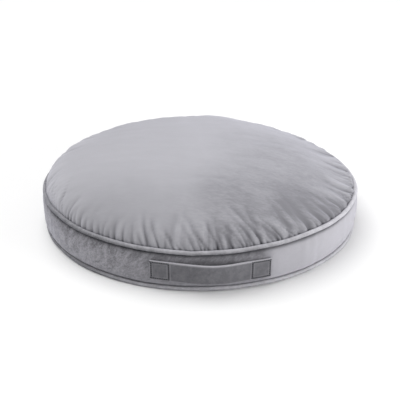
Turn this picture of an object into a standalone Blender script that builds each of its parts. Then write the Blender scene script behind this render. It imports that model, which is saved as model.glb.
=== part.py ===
"""A round floor cushion: crowned top panel, piped seams, side band with a zip at the
rear and a sewn strap handle at the front, over an inner pad of foam and fibre.

Metres, +Z up. The origin is on the cushion's axis, on the floor. The handle faces -Y.
"""

import math

import bmesh
import bpy
from mathutils import Vector

# Overall sizes
DIAMETER = 0.600            # across the band at mid height
SEAM_SPACING = 0.064        # between the centres of the two pipings
CROWN_HEIGHT = 0.066        # of the top panel's centre above the top seam
CROWN_FULLNESS = 2.6        # exponent of the crown's superellipse; 2 is an ellipse

# Cloth
VELVET = 0.0010
LINER = 0.0006
CLEARANCE = 0.0003          # between pieces that touch
SEAM_ALLOWANCE = 0.006      # turned inwards behind the piping

# Piping
PIPING_CORD_RADIUS = 0.0019
SLEEVE_SLACK = 0.0007       # between the cord and its faceted sleeve's corners
SLEEVE_WALL = 0.0009
PIPING_INSET = 0.005        # of the piping's centre from the band's widest place
PIPING_LIFT = 0.0003        # of the bottom piping above the floor
BELLY_SHARE = 0.36          # of the seam spacing, each way from the middle, is the band's belly

# Inner pad
FOAM_RADIUS = 0.270
FIBRE_BELOW_FOAM = 0.0035
PAD_INSET = 0.0045          # of the pad's side from the inside of the band
PAD_SHOULDER = 0.004        # of the pad's side in from its widest place, above and below
PAD_SHOULDER_RISE = 0.0065  # of those shoulders from the pad's waists
PAD_CROWN_INSET = 0.0022    # of the pad's crown from the top panel, at the rim
PAD_CROWN_DROP = 0.0018     # and at the centre
FOAM_CORNER = 0.004
FIBRE_CORNER = 0.002

# Handle
HANDLE_WIDTH = 0.033
HANDLE_THICKNESS = 0.003
HANDLE_WALL = 0.0008
HANDLE_SPAN = 0.129         # free length between the sewn ends, along the band
HANDLE_END = 0.030          # length of each sewn end
HANDLE_DROP = 0.003         # of the handle's centre below the middle of the band
HANDLE_BOW = 0.008          # of the free span's middle away from the band
THREAD_RADIUS = 0.00035
STITCH_MARGIN = 0.0028      # of the box stitching from the edges of a sewn end

# Zip
ZIP_OPENING = 0.010         # between the folded edges of the two rear strips
TAPE_WIDTH = 0.013
TAPE_THICKNESS = 0.0006
COIL_WIDTH = 0.0022
COIL_THICKNESS = 0.0018
COIL_SPACING = 0.0018       # between the two coils, where the slider's post runs
SLIDER_LENGTH = 0.0105
SLIDER_PLATE = 0.0011
SLIDER_POST = 0.0010
SLIDER_LIP = 0.0008
BAIL_WIDTH = 0.0016
BAIL_OPENING = 0.0044       # along the zip, between the bail's feet
BAIL_WALL = 0.0009
BAIL_RISE = 0.0012          # of the bail's underside above the pull's axis
PULL_RISE = 0.0012          # of the pull's axis above the slider's front plate
PULL_LENGTH = 0.024
PULL_WIDTH = 0.0052
PULL_THICKNESS = 0.0010
PULL_TAPER = 0.003          # length of the pull's narrowed tip
PULL_BAR = 0.0014           # width of the bar that turns under the bail
EYE_SLACK = 0.0005          # each side of the bail in the pull's eye
EYE_BEYOND = 0.0014         # of the eye past the bail's foot
STOP_LENGTH = 0.004

# Facets round the axis
FACETS = 40
ZIP_FACETS = 12             # of them, across the rear, are the zip panel
FINE_FACETS = 3             # in each of those, on the tapes and coils that the slider runs on

# Places worked out from the sizes above
BAND_RADIUS = DIAMETER / 2
PIPING_RADIUS = PIPING_CORD_RADIUS + SLEEVE_SLACK + SLEEVE_WALL
PIPING_CENTRE = BAND_RADIUS - PIPING_INSET
BOTTOM_SEAM = PIPING_RADIUS + PIPING_LIFT
TOP_SEAM = BOTTOM_SEAM + SEAM_SPACING
MIDDLE = (BOTTOM_SEAM + TOP_SEAM) / 2
SEAM_FACE = PIPING_CENTRE - PIPING_RADIUS - CLEARANCE
TAIL_END = SEAM_FACE - SEAM_ALLOWANCE
SLEEVE_TAIL = CLEARANCE / 2 + SLEEVE_WALL / 2
CLOTH_TAIL = SLEEVE_TAIL + SLEEVE_WALL / 2 + CLEARANCE + VELVET / 2
CROWN_RADIUS = SEAM_FACE - VELVET / 2
FACET_ANGLE = math.tau / FACETS
FACET_SAG = BAND_RADIUS * (1 - math.cos(FACET_ANGLE / 2))
ZIP_HALF_ANGLE = ZIP_FACETS / 2 * FACET_ANGLE
REAR = math.radians(90)
FRONT = math.radians(270)

parts = bpy.data.collections.new("floor_cushion")
cutters = bpy.data.collections.new("cutters")


def clear_scene():
    for obj in list(bpy.data.objects):
        bpy.data.objects.remove(obj, do_unlink=True)
    bpy.context.scene.collection.children.link(parts)
    bpy.context.scene.collection.children.link(cutters)


def material(name, colour, roughness, metallic=0.0):
    made = bpy.data.materials.new(name)
    made.use_nodes = True
    shader = made.node_tree.nodes["Principled BSDF"]
    shader.inputs["Base Color"].default_value = (*colour, 1)
    shader.inputs["Roughness"].default_value = roughness
    shader.inputs["Metallic"].default_value = metallic
    return made


def add_object(name, mesh, made_of):
    mesh.materials.append(made_of)
    obj = bpy.data.objects.new(name, mesh)
    parts.objects.link(obj)
    return obj


def as_cutter(obj):
    parts.objects.unlink(obj)
    cutters.objects.link(obj)
    obj.hide_render = True
    obj.display_type = "WIRE"
    return obj


def boolean(obj, other, operation):
    modifier = obj.modifiers.new(operation.lower(), "BOOLEAN")
    modifier.operation = operation
    modifier.object = as_cutter(other)


# ---- outlines, as lists of (radius, height) -------------------------------------------


def signed_area(outline):
    pairs = zip(outline, outline[1:] + outline[:1])
    return sum(a.x * b.y - b.x * a.y for a, b in pairs) / 2


def ribbon(path, thickness):
    """Outline of a strip of cloth whose middle follows the path."""
    path = [Vector(point) for point in path]
    outer, inner = [], []
    for i, point in enumerate(path):
        ahead = path[min(i + 1, len(path) - 1)] - path[min(i, len(path) - 2)]
        behind = path[max(i, 1)] - path[max(i - 1, 0)]
        normal_ahead = Vector((-ahead.y, ahead.x)).normalized()
        normal_behind = Vector((-behind.y, behind.x)).normalized()
        side = (normal_ahead + normal_behind).normalized()
        side *= thickness / 2 / side.dot(normal_ahead)
        if point.x == 0:
            side = Vector((0, math.copysign(thickness / 2, side.y)))
        outer.append(point + side)
        inner.append(point - side)
    return outer + inner[::-1]


def arc(centre, radius, first_deg, last_deg, count):
    """Points along a circle, from one angle to another."""
    points = []
    for i in range(count):
        angle = math.radians(first_deg + (last_deg - first_deg) * i / (count - 1))
        points.append(
            (centre[0] + radius * math.cos(angle), centre[1] + radius * math.sin(angle))
        )
    return points


def crown(radius, height, base, count):
    """Points down a crowned panel, from its centre to its rim."""
    points = []
    power = 2 / CROWN_FULLNESS
    for i in range(count):
        angle = math.pi / 2 * i / (count - 1)
        across = max(math.sin(angle), 0) ** power
        up = max(math.cos(angle), 0) ** power
        points.append((radius * across, base + height * up))
    return points


def band_radius(height):
    """Radius of the middle of the band's cloth, which bellies out between the seams."""
    widest = BAND_RADIUS - VELVET / 2
    at_seam = PIPING_CENTRE + VELVET
    share = (height - MIDDLE) / (SEAM_SPACING / 2)
    return widest - (widest - at_seam) * share**2


def band_end(seam, side):
    """Points from the band's belly round the piping and in behind it. side is 1 on top."""
    clear = PIPING_RADIUS + 2 * CLEARANCE + VELVET / 2
    around = arc((PIPING_CENTRE, seam), clear, -80 * side, -130 * side, 2)
    tail = seam - side * CLOTH_TAIL
    return around + [(SEAM_FACE - VELVET / 2, tail), (TAIL_END, tail)]


def band_belly(low, high, count):
    heights = [low + (high - low) * i / (count - 1) for i in range(count)]
    return [(band_radius(height), height) for height in heights]


# ---- solids ---------------------------------------------------------------------------


def turned(name, outline, made_of):
    """Turns an outline about the Z axis. One that starts and ends on the axis is open."""
    points = [Vector(point) for point in outline]
    if signed_area(points) > 0:
        points.reverse()
    on_axis = [point.x < 1e-6 for point in points]
    edges = [(i, i + 1) for i in range(len(points) - 1)]
    if any(on_axis):
        while not (points[0].x < 1e-6 and points[-1].x < 1e-6):
            points.append(points.pop(0))
    else:
        edges.append((len(points) - 1, 0))
    mesh = bpy.data.meshes.new(name)
    mesh.from_pydata([(p.x, 0, p.y) for p in points], edges, [])
    obj = add_object(name, mesh, made_of)
    screw = obj.modifiers.new("turn", "SCREW")
    screw.steps = FACETS
    screw.render_steps = FACETS
    screw.use_merge_vertices = True
    screw.merge_threshold = 0.00001
    return obj


def filled_outline(outline, to_space):
    """A bmesh that holds one face, placed in space by a function of its two values."""
    bm = bmesh.new()
    bm.faces.new([bm.verts.new(to_space(a, b)) for a, b in outline])
    return bm


def finished(bm, name, made_of):
    bmesh.ops.recalc_face_normals(bm, faces=bm.faces)
    mesh = bpy.data.meshes.new(name)
    bm.to_mesh(mesh)
    bm.free()
    return add_object(name, mesh, made_of)


def swept(name, outline, first, last, steps, made_of):
    """Carries an outline of (radius, height) round the Z axis from one angle to another."""
    bm = filled_outline(outline, lambda r, z: (r * math.cos(first), r * math.sin(first), z))
    bmesh.ops.spin(
        bm, geom=bm.verts[:] + bm.edges[:] + bm.faces[:], cent=(0, 0, 0), axis=(0, 0, 1),
        angle=last - first, steps=steps,
    )
    return finished(bm, name, made_of)


def prism(name, outline, to_space, along, made_of):
    """Pulls a flat outline out along a straight line."""
    bm = filled_outline(outline, to_space)
    made = bmesh.ops.extrude_face_region(bm, geom=bm.faces[:])
    moved = [item for item in made["geom"] if isinstance(item, bmesh.types.BMVert)]
    bmesh.ops.translate(bm, verts=moved, vec=along)
    return finished(bm, name, made_of)


# ---- cover ----------------------------------------------------------------------------


def make_top_panel(cloth):
    dome = crown(CROWN_RADIUS, CROWN_HEIGHT, TOP_SEAM, 10)[:-1]
    tail = TOP_SEAM + CLOTH_TAIL
    turned("top_panel", ribbon(dome + [(CROWN_RADIUS, tail), (TAIL_END, tail)], VELVET), cloth)


def make_bottom_panel(cloth):
    floor = VELVET / 2
    tail = BOTTOM_SEAM - CLOTH_TAIL
    fold = (tail - floor) / 2
    turn = arc((SEAM_FACE - VELVET / 2 - fold, floor + fold), fold, -90, 90, 4)
    turned("bottom_panel", ribbon([(0, floor)] + turn + [(TAIL_END, tail)], VELVET), cloth)


def make_side_band(cloth):
    """The one long strip of the band, from one end of the zip panel round to the other."""
    lower = band_end(BOTTOM_SEAM, -1)[::-1]
    upper = band_end(TOP_SEAM, 1)
    belly = band_belly(MIDDLE - BELLY_SHARE * SEAM_SPACING, MIDDLE + BELLY_SHARE * SEAM_SPACING, 5)
    slack = CLEARANCE / 2 / BAND_RADIUS
    swept(
        "side_band", ribbon(lower + belly + upper, VELVET),
        REAR + ZIP_HALF_ANGLE + slack, REAR - ZIP_HALF_ANGLE - slack + math.tau,
        FACETS - ZIP_FACETS, cloth,
    )


def make_zip_bands(cloth):
    """The two rear strips, each with its edge along the zip."""
    slack = CLEARANCE / 2 / BAND_RADIUS
    span = (REAR - ZIP_HALF_ANGLE + slack, REAR + ZIP_HALF_ANGLE - slack, ZIP_FACETS)
    edge = ZIP_OPENING / 2
    upper = band_belly(MIDDLE + edge, MIDDLE + BELLY_SHARE * SEAM_SPACING, 3)
    swept("zip_band_upper", ribbon(upper + band_end(TOP_SEAM, 1), VELVET), *span, cloth)
    lower = band_belly(MIDDLE - edge, MIDDLE - BELLY_SHARE * SEAM_SPACING, 3)
    swept("zip_band_lower", ribbon(lower + band_end(BOTTOM_SEAM, -1), VELVET), *span, cloth)


def make_piping(name, seam, cloth, cotton):
    """A filler cord in a folded strip, whose two tails lie in the seam."""
    middle = PIPING_RADIUS - SLEEVE_WALL / 2
    root = PIPING_CENTRE - PIPING_RADIUS + SLEEVE_WALL / 2
    wrap = arc((PIPING_CENTRE, seam), middle, 130, -130, 6)
    over = [(TAIL_END, seam + SLEEVE_TAIL), (root, seam + SLEEVE_TAIL)]
    under = [(root, seam - SLEEVE_TAIL), (TAIL_END, seam - SLEEVE_TAIL)]
    turned(name + "_sleeve", ribbon(over + wrap + under, SLEEVE_WALL), cloth)
    ring = arc((PIPING_CENTRE, seam), PIPING_CORD_RADIUS, 0, 315, 8)
    turned(name + "_cord", ring, cotton)


# ---- inner pad ------------------------------------------------------------------------

PAD_RADIUS = BAND_RADIUS - VELVET - PAD_INSET - LINER / 2
PAD_WAIST = TAIL_END - 2 * CLEARANCE - LINER / 2
PAD_CROWN_RADIUS = CROWN_RADIUS - PAD_CROWN_INSET
FOAM_BASE = VELVET + CLEARANCE + LINER + CLEARANCE + FIBRE_BELOW_FOAM + CLEARANCE
WAIST_ABOVE = CLOTH_TAIL + VELVET / 2 + CLEARANCE + LINER
FOAM_TOP = TOP_SEAM - WAIST_ABOVE


def pad_crown(inset, count):
    """Points down the pad's top, inset from the middle of the liner."""
    return crown(
        PAD_CROWN_RADIUS - inset, CROWN_HEIGHT - PAD_CROWN_DROP - inset, TOP_SEAM, count
    )[:-1]


def pad_side(inset):
    """Points up the pad's side between its two waists, inset from the liner's middle."""
    shoulder = PAD_RADIUS - PAD_SHOULDER - inset
    rise = WAIST_ABOVE + PAD_SHOULDER_RISE
    return [
        (PAD_WAIST - inset, BOTTOM_SEAM + WAIST_ABOVE),
        (shoulder, BOTTOM_SEAM + rise),
        (PAD_RADIUS - inset, MIDDLE),
        (shoulder, TOP_SEAM - rise),
        (PAD_WAIST - inset, TOP_SEAM - WAIST_ABOVE),
    ]


def make_liner(cotton):
    waist_top = [(PAD_WAIST, TOP_SEAM + WAIST_ABOVE), (PAD_WAIST, TOP_SEAM + CLEARANCE)]
    turned("liner_top", ribbon(pad_crown(0, 8) + waist_top, LINER), cotton)
    low = (PAD_WAIST, BOTTOM_SEAM + 2 * CLEARANCE)
    high = (PAD_WAIST, TOP_SEAM - CLEARANCE)
    turned("liner_band", ribbon([low] + pad_side(0) + [high], LINER), cotton)
    floor = VELVET + CLEARANCE + LINER / 2
    bend = PAD_WAIST - (BOTTOM_SEAM - floor)
    flat = [(0, floor), (bend, floor), (PAD_WAIST, BOTTOM_SEAM - CLEARANCE)]
    turned("liner_bottom", ribbon(flat, LINER), cotton)


def make_foam_core(foam):
    radius, corner = FOAM_RADIUS, FOAM_CORNER
    turned(
        "foam_core",
        [
            (0, FOAM_TOP), (radius - corner, FOAM_TOP), (radius, FOAM_TOP - corner),
            (radius, FOAM_BASE + corner), (radius - corner, FOAM_BASE), (0, FOAM_BASE),
        ],
        foam,
    )


def make_fibre(wadding):
    """Wadding over, round and under the foam, inside the liner."""
    inset = LINER + 2 * CLEARANCE
    over = [p for p in pad_crown(inset, 8) if p[1] > FOAM_TOP + 2 * CLEARANCE]
    base = FOAM_TOP + CLEARANCE
    waist = PAD_WAIST - inset
    turned("fibre_top", over + [(waist, TOP_SEAM + WAIST_ABOVE), (waist, base), (0, base)], wadding)
    inner = FOAM_RADIUS + CLEARANCE
    side = pad_side(inset)
    turned("fibre_edge", [(inner, side[0][1])] + side + [(inner, side[-1][1])], wadding)
    low = VELVET + CLEARANCE + LINER + CLEARANCE
    high = FOAM_BASE - CLEARANCE
    edge = PAD_WAIST - BOTTOM_SEAM
    turned(
        "fibre_bottom", [(0, high), (edge, high), (edge - FIBRE_CORNER, low), (0, low)], wadding
    )


# ---- handle ---------------------------------------------------------------------------

HANDLE_INNER = BAND_RADIUS + CLEARANCE
HANDLE_MIDDLE = HANDLE_INNER + HANDLE_THICKNESS / 2
HANDLE_CENTRE = MIDDLE - HANDLE_DROP
SPAN_HALF_ANGLE = HANDLE_SPAN / 2 / BAND_RADIUS
END_ANGLE = HANDLE_END / BAND_RADIUS
END_GAP = CLEARANCE / BAND_RADIUS


def on_handle(angle, radius):
    """Plan position at an angle from the front, towards +X."""
    return (radius * math.cos(FRONT + angle), radius * math.sin(FRONT + angle))


def handle_run(half_angle, steps):
    """Middle of the free span, which bows away from the band."""
    points = []
    for i in range(steps + 1):
        angle = half_angle * (2 * i / steps - 1)
        bow = HANDLE_BOW * math.cos(math.pi / 2 * angle / SPAN_HALF_ANGLE) ** 2
        points.append(on_handle(angle, HANDLE_MIDDLE + bow))
    return points


def upright(name, plan, width, made_of):
    """A strip of this width that stands upright on its plan."""
    base = HANDLE_CENTRE - width / 2
    return prism(name, plan, lambda x, y: (x, y, base), (0, 0, width), made_of)


def make_handle_span(cloth, webbing):
    """The free span: a velvet sleeve with its ends open, round a core of webbing."""
    strap = upright(
        "handle_strap", ribbon(handle_run(SPAN_HALF_ANGLE, 12), HANDLE_THICKNESS),
        HANDLE_WIDTH, cloth,
    )
    wall = 2 * HANDLE_WALL
    pocket = upright(
        "handle_pocket", ribbon(handle_run(SPAN_HALF_ANGLE * 1.02, 12), HANDLE_THICKNESS - wall),
        HANDLE_WIDTH - wall, cloth,
    )
    boolean(strap, pocket, "DIFFERENCE")
    slack = wall + 2 * CLEARANCE
    upright(
        "handle_core", ribbon(handle_run(SPAN_HALF_ANGLE * 0.995, 12), HANDLE_THICKNESS - slack),
        HANDLE_WIDTH - slack, webbing,
    )


def make_handle_end(name, side, cloth, thread):
    """One end of the strap, folded under and sewn down with a box of stitching."""
    first = SPAN_HALF_ANGLE + END_GAP
    last = first + END_ANGLE
    angles = [side * (first + (last - first) * i / 3) for i in range(4)]
    run = [on_handle(angle, HANDLE_MIDDLE) for angle in angles]
    upright("handle_end_" + name, ribbon(run, HANDLE_THICKNESS), HANDLE_WIDTH, cloth)

    margin = STITCH_MARGIN / BAND_RADIUS
    half = HANDLE_WIDTH / 2 - STITCH_MARGIN
    radius = HANDLE_INNER + HANDLE_THICKNESS + CLEARANCE + THREAD_RADIUS
    across = [first + margin + (last - first - 2 * margin) * i / 3 for i in range(4)]
    corners = [(angle, -half) for angle in across] + [(angle, half) for angle in across[::-1]]
    curve = bpy.data.curves.new("handle_stitching_" + name, "CURVE")
    curve.dimensions = "3D"
    curve.bevel_depth = THREAD_RADIUS
    curve.bevel_resolution = 0
    curve.use_fill_caps = True
    spline = curve.splines.new("POLY")
    spline.points.add(len(corners) - 1)
    spline.use_cyclic_u = True
    for point, (angle, height) in zip(spline.points, corners):
        point.co = (*on_handle(side * angle, radius), HANDLE_CENTRE + height, 1)
    curve.materials.append(thread)
    parts.objects.link(bpy.data.objects.new("handle_stitching_" + name, curve))


# ---- zip ------------------------------------------------------------------------------

TAPE_SET_BACK = VELVET / 2 + FACET_SAG + CLEARANCE + TAPE_THICKNESS / 2
TAPE_CENTRE = BAND_RADIUS - VELVET / 2 - TAPE_SET_BACK
TAPE_FACETS = ZIP_FACETS * FINE_FACETS
FINE_ANGLE = FACET_ANGLE / FINE_FACETS
COIL_BACK = TAPE_CENTRE + TAPE_THICKNESS / 2 + CLEARANCE
COIL_FRONT = COIL_BACK + COIL_THICKNESS
COIL_INNER = COIL_SPACING / 2
COIL_OUTER = COIL_INNER + COIL_WIDTH
PLATE_BACK = COIL_FRONT + CLEARANCE
PLATE_FRONT = PLATE_BACK + SLIDER_PLATE
LIP_INNER = COIL_OUTER + CLEARANCE
LIP_OUTER = LIP_INNER + SLIDER_LIP
STOP_ANGLE = STOP_LENGTH / BAND_RADIUS
COIL_HALF_ANGLE = ZIP_HALF_ANGLE - FINE_ANGLE
SLIDER_ANGLE = COIL_HALF_ANGLE - (SLIDER_LENGTH / 2 + CLEARANCE) / BAND_RADIUS
PULL_AXIS = PLATE_FRONT + PULL_RISE
BAIL_FOOT = BAIL_OPENING / 2


def rectangle(low_a, high_a, low_b, high_b):
    return [(low_a, low_b), (high_a, low_b), (high_a, high_b), (low_a, high_b)]


def make_zip_half(name, side, tape, nylon):
    """One tape, behind its strip, and the coil along its edge."""
    path = [(TAPE_CENTRE, MIDDLE + side * COIL_INNER)]
    for share in (0.5, 1):
        height = MIDDLE + side * (COIL_INNER + share * TAPE_WIDTH)
        path.append((band_radius(height) - TAPE_SET_BACK, height))
    swept(
        "zip_tape_" + name, ribbon(path, TAPE_THICKNESS),
        REAR - ZIP_HALF_ANGLE, REAR + ZIP_HALF_ANGLE, TAPE_FACETS, tape,
    )
    heights = sorted(MIDDLE + side * z for z in (COIL_INNER, COIL_OUTER))
    swept(
        "zip_coil_" + name, rectangle(COIL_BACK, COIL_FRONT, *heights),
        REAR - COIL_HALF_ANGLE, REAR + COIL_HALF_ANGLE, TAPE_FACETS - 2, nylon,
    )


def make_zip_stop(name, side, metal):
    """A crimped stop across both coils' ends."""
    first = REAR + side * (COIL_HALF_ANGLE + CLEARANCE / BAND_RADIUS)
    outline = rectangle(COIL_BACK, COIL_FRONT, MIDDLE - COIL_OUTER, MIDDLE + COIL_OUTER)
    swept("zip_stop_" + name, outline, first, first + side * STOP_ANGLE, 1, metal)


def make_zip_slider(metal):
    """Front plate with lips, post between the coils, back plate, and the pull's bail."""
    back_front = TAPE_CENTRE - TAPE_THICKNESS / 2 - CLEARANCE
    back_back = back_front - SLIDER_PLATE
    post = SLIDER_POST / 2
    half = [
        (back_back, LIP_OUTER), (back_front, LIP_OUTER), (back_front, post),
        (PLATE_BACK, post), (PLATE_BACK, LIP_INNER), (COIL_BACK + CLEARANCE, LIP_INNER),
        (COIL_BACK + CLEARANCE, LIP_OUTER), (PLATE_FRONT, LIP_OUTER),
    ]
    section = half + [(radius, -height) for radius, height in reversed(half)]
    slider = prism(
        "zip_slider", section, lambda r, z: (r, -SLIDER_LENGTH / 2, MIDDLE + z),
        (0, SLIDER_LENGTH, 0), metal,
    )
    under = PULL_AXIS + BAIL_RISE
    foot = BAIL_FOOT + BAIL_WALL
    sunk = PLATE_FRONT - SLIDER_PLATE / 2
    arch = [
        (sunk, -foot), (under + BAIL_WALL, -foot), (under + BAIL_WALL, foot), (sunk, foot),
        (sunk, BAIL_FOOT), (under, BAIL_FOOT), (under, -BAIL_FOOT), (sunk, -BAIL_FOOT),
    ]
    bail = prism(
        "zip_bail", arch, lambda r, t: (r, t, MIDDLE - BAIL_WIDTH / 2), (0, 0, BAIL_WIDTH), metal
    )
    boolean(slider, bail, "UNION")
    for obj in (slider, bail):
        obj.rotation_euler.z = REAR + SLIDER_ANGLE


def make_zip_pull(metal):
    """A flat tab whose end bar turns under the bail. It lies along the closed coils."""
    half, bar = PULL_WIDTH / 2, PULL_BAR / 2
    tip, shoulder = PULL_LENGTH, PULL_LENGTH - PULL_TAPER
    outline = [
        (bar, half), (-shoulder, half), (-tip, half / 2), (-tip, -half / 2),
        (-shoulder, -half), (bar, -half),
    ]
    base = -PULL_THICKNESS / 2
    pull = prism("zip_pull", outline, lambda t, z: (base, t, z), (PULL_THICKNESS, 0, 0), metal)
    eye_half = BAIL_WIDTH / 2 + EYE_SLACK
    eye_end = BAIL_FOOT + BAIL_WALL + EYE_BEYOND
    eye = rectangle(-eye_end, -bar, -eye_half, eye_half)
    window = prism(
        "zip_pull_eye", eye, lambda t, z: (3 * base, t, z), (3 * PULL_THICKNESS, 0, 0), metal
    )
    boolean(pull, window, "DIFFERENCE")
    angle = REAR + SLIDER_ANGLE
    for obj in (pull, window):
        obj.location = (PULL_AXIS * math.cos(angle), PULL_AXIS * math.sin(angle), MIDDLE)
        obj.rotation_euler.z = angle


def main():
    clear_scene()
    velvet = material("grey_velvet", (0.33, 0.33, 0.35), 0.8)
    cotton = material("white_cotton", (0.78, 0.76, 0.72), 0.9)
    foam = material("cream_foam", (0.82, 0.76, 0.55), 0.95)
    wadding = material("white_wadding", (0.88, 0.88, 0.87), 1.0)
    webbing = material("grey_webbing", (0.25, 0.25, 0.26), 0.85)
    thread = material("grey_thread", (0.22, 0.22, 0.24), 0.6)
    tape = material("grey_zip_tape", (0.28, 0.28, 0.30), 0.85)
    nylon = material("grey_nylon", (0.30, 0.30, 0.32), 0.45)
    metal = material("nickel", (0.62, 0.61, 0.60), 0.3, 1.0)

    make_top_panel(velvet)
    make_bottom_panel(velvet)
    make_side_band(velvet)
    make_zip_bands(velvet)
    make_piping("piping_top", TOP_SEAM, velvet, cotton)
    make_piping("piping_bottom", BOTTOM_SEAM, velvet, cotton)
    make_liner(cotton)
    make_foam_core(foam)
    make_fibre(wadding)
    make_handle_span(velvet, webbing)
    make_handle_end("left", -1, velvet, thread)
    make_handle_end("right", 1, velvet, thread)
    make_zip_half("upper", 1, tape, nylon)
    make_zip_half("lower", -1, tape, nylon)
    make_zip_stop("closed", 1, metal)
    make_zip_stop("open", -1, metal)
    make_zip_slider(metal)
    make_zip_pull(metal)


main()
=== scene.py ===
"""Looks of the round floor cushion: crushed velvet cover with piped seams, gathered crown,
strap handle and rear zip, over its filled pad.

Metres, +Z up. The cushion's axis is the Z axis, the floor is z = 0 and the handle faces -Y.
Angles round the cushion start at +X, so the front is at 270 degrees and the zip at 90.
"""

import math

import bpy
import numpy as np
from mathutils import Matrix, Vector


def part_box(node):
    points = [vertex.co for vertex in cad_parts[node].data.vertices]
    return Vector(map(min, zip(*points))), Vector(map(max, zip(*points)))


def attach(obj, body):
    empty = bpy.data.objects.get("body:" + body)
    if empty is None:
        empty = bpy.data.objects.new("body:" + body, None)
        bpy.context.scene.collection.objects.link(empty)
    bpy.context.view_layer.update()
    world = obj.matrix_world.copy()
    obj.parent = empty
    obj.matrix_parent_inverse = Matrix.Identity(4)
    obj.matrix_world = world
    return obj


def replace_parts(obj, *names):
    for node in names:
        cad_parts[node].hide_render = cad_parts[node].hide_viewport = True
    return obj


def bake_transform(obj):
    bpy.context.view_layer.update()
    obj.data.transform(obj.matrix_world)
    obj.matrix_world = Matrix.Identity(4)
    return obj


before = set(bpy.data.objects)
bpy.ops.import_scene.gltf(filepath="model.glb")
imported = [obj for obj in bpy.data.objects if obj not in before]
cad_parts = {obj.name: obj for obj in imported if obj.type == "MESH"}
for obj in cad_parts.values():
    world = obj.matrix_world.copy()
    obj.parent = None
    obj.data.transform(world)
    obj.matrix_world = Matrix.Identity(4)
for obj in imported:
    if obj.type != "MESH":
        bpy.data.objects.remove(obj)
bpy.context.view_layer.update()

# ---- sizes, from the frame ---------------------------------------------------------------

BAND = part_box("side_band")[1].x                       # radius of the outside of the band
CORD = (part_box("piping_top_cord")[1].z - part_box("piping_top_cord")[0].z) / 2
PIPING_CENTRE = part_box("piping_top_cord")[1].x - CORD
TOP_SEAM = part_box("piping_top_cord")[1].z - CORD
BOTTOM_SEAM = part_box("piping_bottom_cord")[1].z - CORD
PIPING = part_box("piping_top_sleeve")[1].z - TOP_SEAM
MIDDLE = (TOP_SEAM + BOTTOM_SEAM) / 2
HALF_HEIGHT = (TOP_SEAM - BOTTOM_SEAM) / 2
CROWN_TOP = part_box("top_panel")[1].z
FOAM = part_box("foam_core")[1].x
FOAM_LOW, FOAM_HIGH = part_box("foam_core")[0].z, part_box("foam_core")[1].z
STRAP_LOW, STRAP_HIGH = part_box("handle_strap")[0].z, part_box("handle_strap")[1].z
STRAP_MIDDLE = (STRAP_LOW + STRAP_HIGH) / 2
STRAP_WIDTH = STRAP_HIGH - STRAP_LOW + 0.0006         # with the pile standing at its edges
STRAP_REACH = -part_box("handle_strap")[0].y            # radius of its outside, half way along
STRAP_SPAN = math.asin(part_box("handle_strap")[1].x / BAND)
STRAP_END = math.asin(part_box("handle_end_right")[1].x / BAND)
ZIP_HALF = math.asin(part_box("zip_band_upper")[1].x / BAND)
ZIP_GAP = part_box("zip_band_upper")[0].z - MIDDLE      # of each folded edge from the coils' line
COIL_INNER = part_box("zip_coil_upper")[0].z - MIDDLE
COIL_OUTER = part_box("zip_coil_upper")[1].z - MIDDLE
COIL_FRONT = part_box("zip_coil_upper")[1].y
TAPE_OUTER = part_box("zip_tape_upper")[1].z - MIDDLE

# ---- sizes of the cloth and its sewing ---------------------------------------------------

VELVET = 0.0010
SLEEVE = 0.0009
LINER = 0.0006
TAPE = 0.0005
STRAP = 0.0030
GAP = 0.0003               # between pieces that touch
ALLOWANCE = 0.006          # of cloth turned in behind a piping
TURNED_IN = GAP / 2 + SLEEVE + GAP + VELVET / 2       # height of that cloth off the seam's line
SEAM_FACE = PIPING_CENTRE - PIPING - GAP              # radius just inside the pipings
CROWN_FULLNESS = 2.42      # exponent of the crown's superellipse
CROWN_EXTRA = 0.0008       # of its middle above its place, before the filling settles
BAND_FULLNESS = 3.4        # exponent of the band's belly
BAND_TUCK = 0.0024         # of the band's cloth inside the pipings' centre line, at the seams
COIL_DEPTH = 0.0018
COIL_PITCH = 0.0015
THREAD = 0.00028
BOX_MARGIN = 0.0026        # of the strap outside the square it is sewn down by
STRAP_LIFT = 0.0036        # of the strap above the middle of its place, at its ends
STRAP_TILT = 0.0014        # of its left end above its middle, and of its right end below it
STRAP_RISE = 0.0012        # of its free middle above its ends
SEWN_LONGER = (0.0012, 0.0042)                        # of the left and right sewn end, inwards
LEFT_OUTWARD = 0.0014      # of the left sewn end, outwards
FLOOR_GAP = 0.00005        # between cloth and floor
STITCH_PITCH = 0.0034
# colour of the painted shade in creases
CREASE_SHADE = (0.020, 0.020, 0.023)
REAR = math.radians(90)
FRONT = math.radians(270)
SEED = 7
CUT_EASE = 0.12            # of the top panel beyond what its seam needs
FRAMES = 12                # of the cloth simulation
SLOWEST_WAVE = 6           # wrinkles kept from it, in waves round the cushion
QUICKEST_WAVE = 180
WRINKLE_LOW, WRINKLE_HIGH = -0.0018, 0.0020

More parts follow.
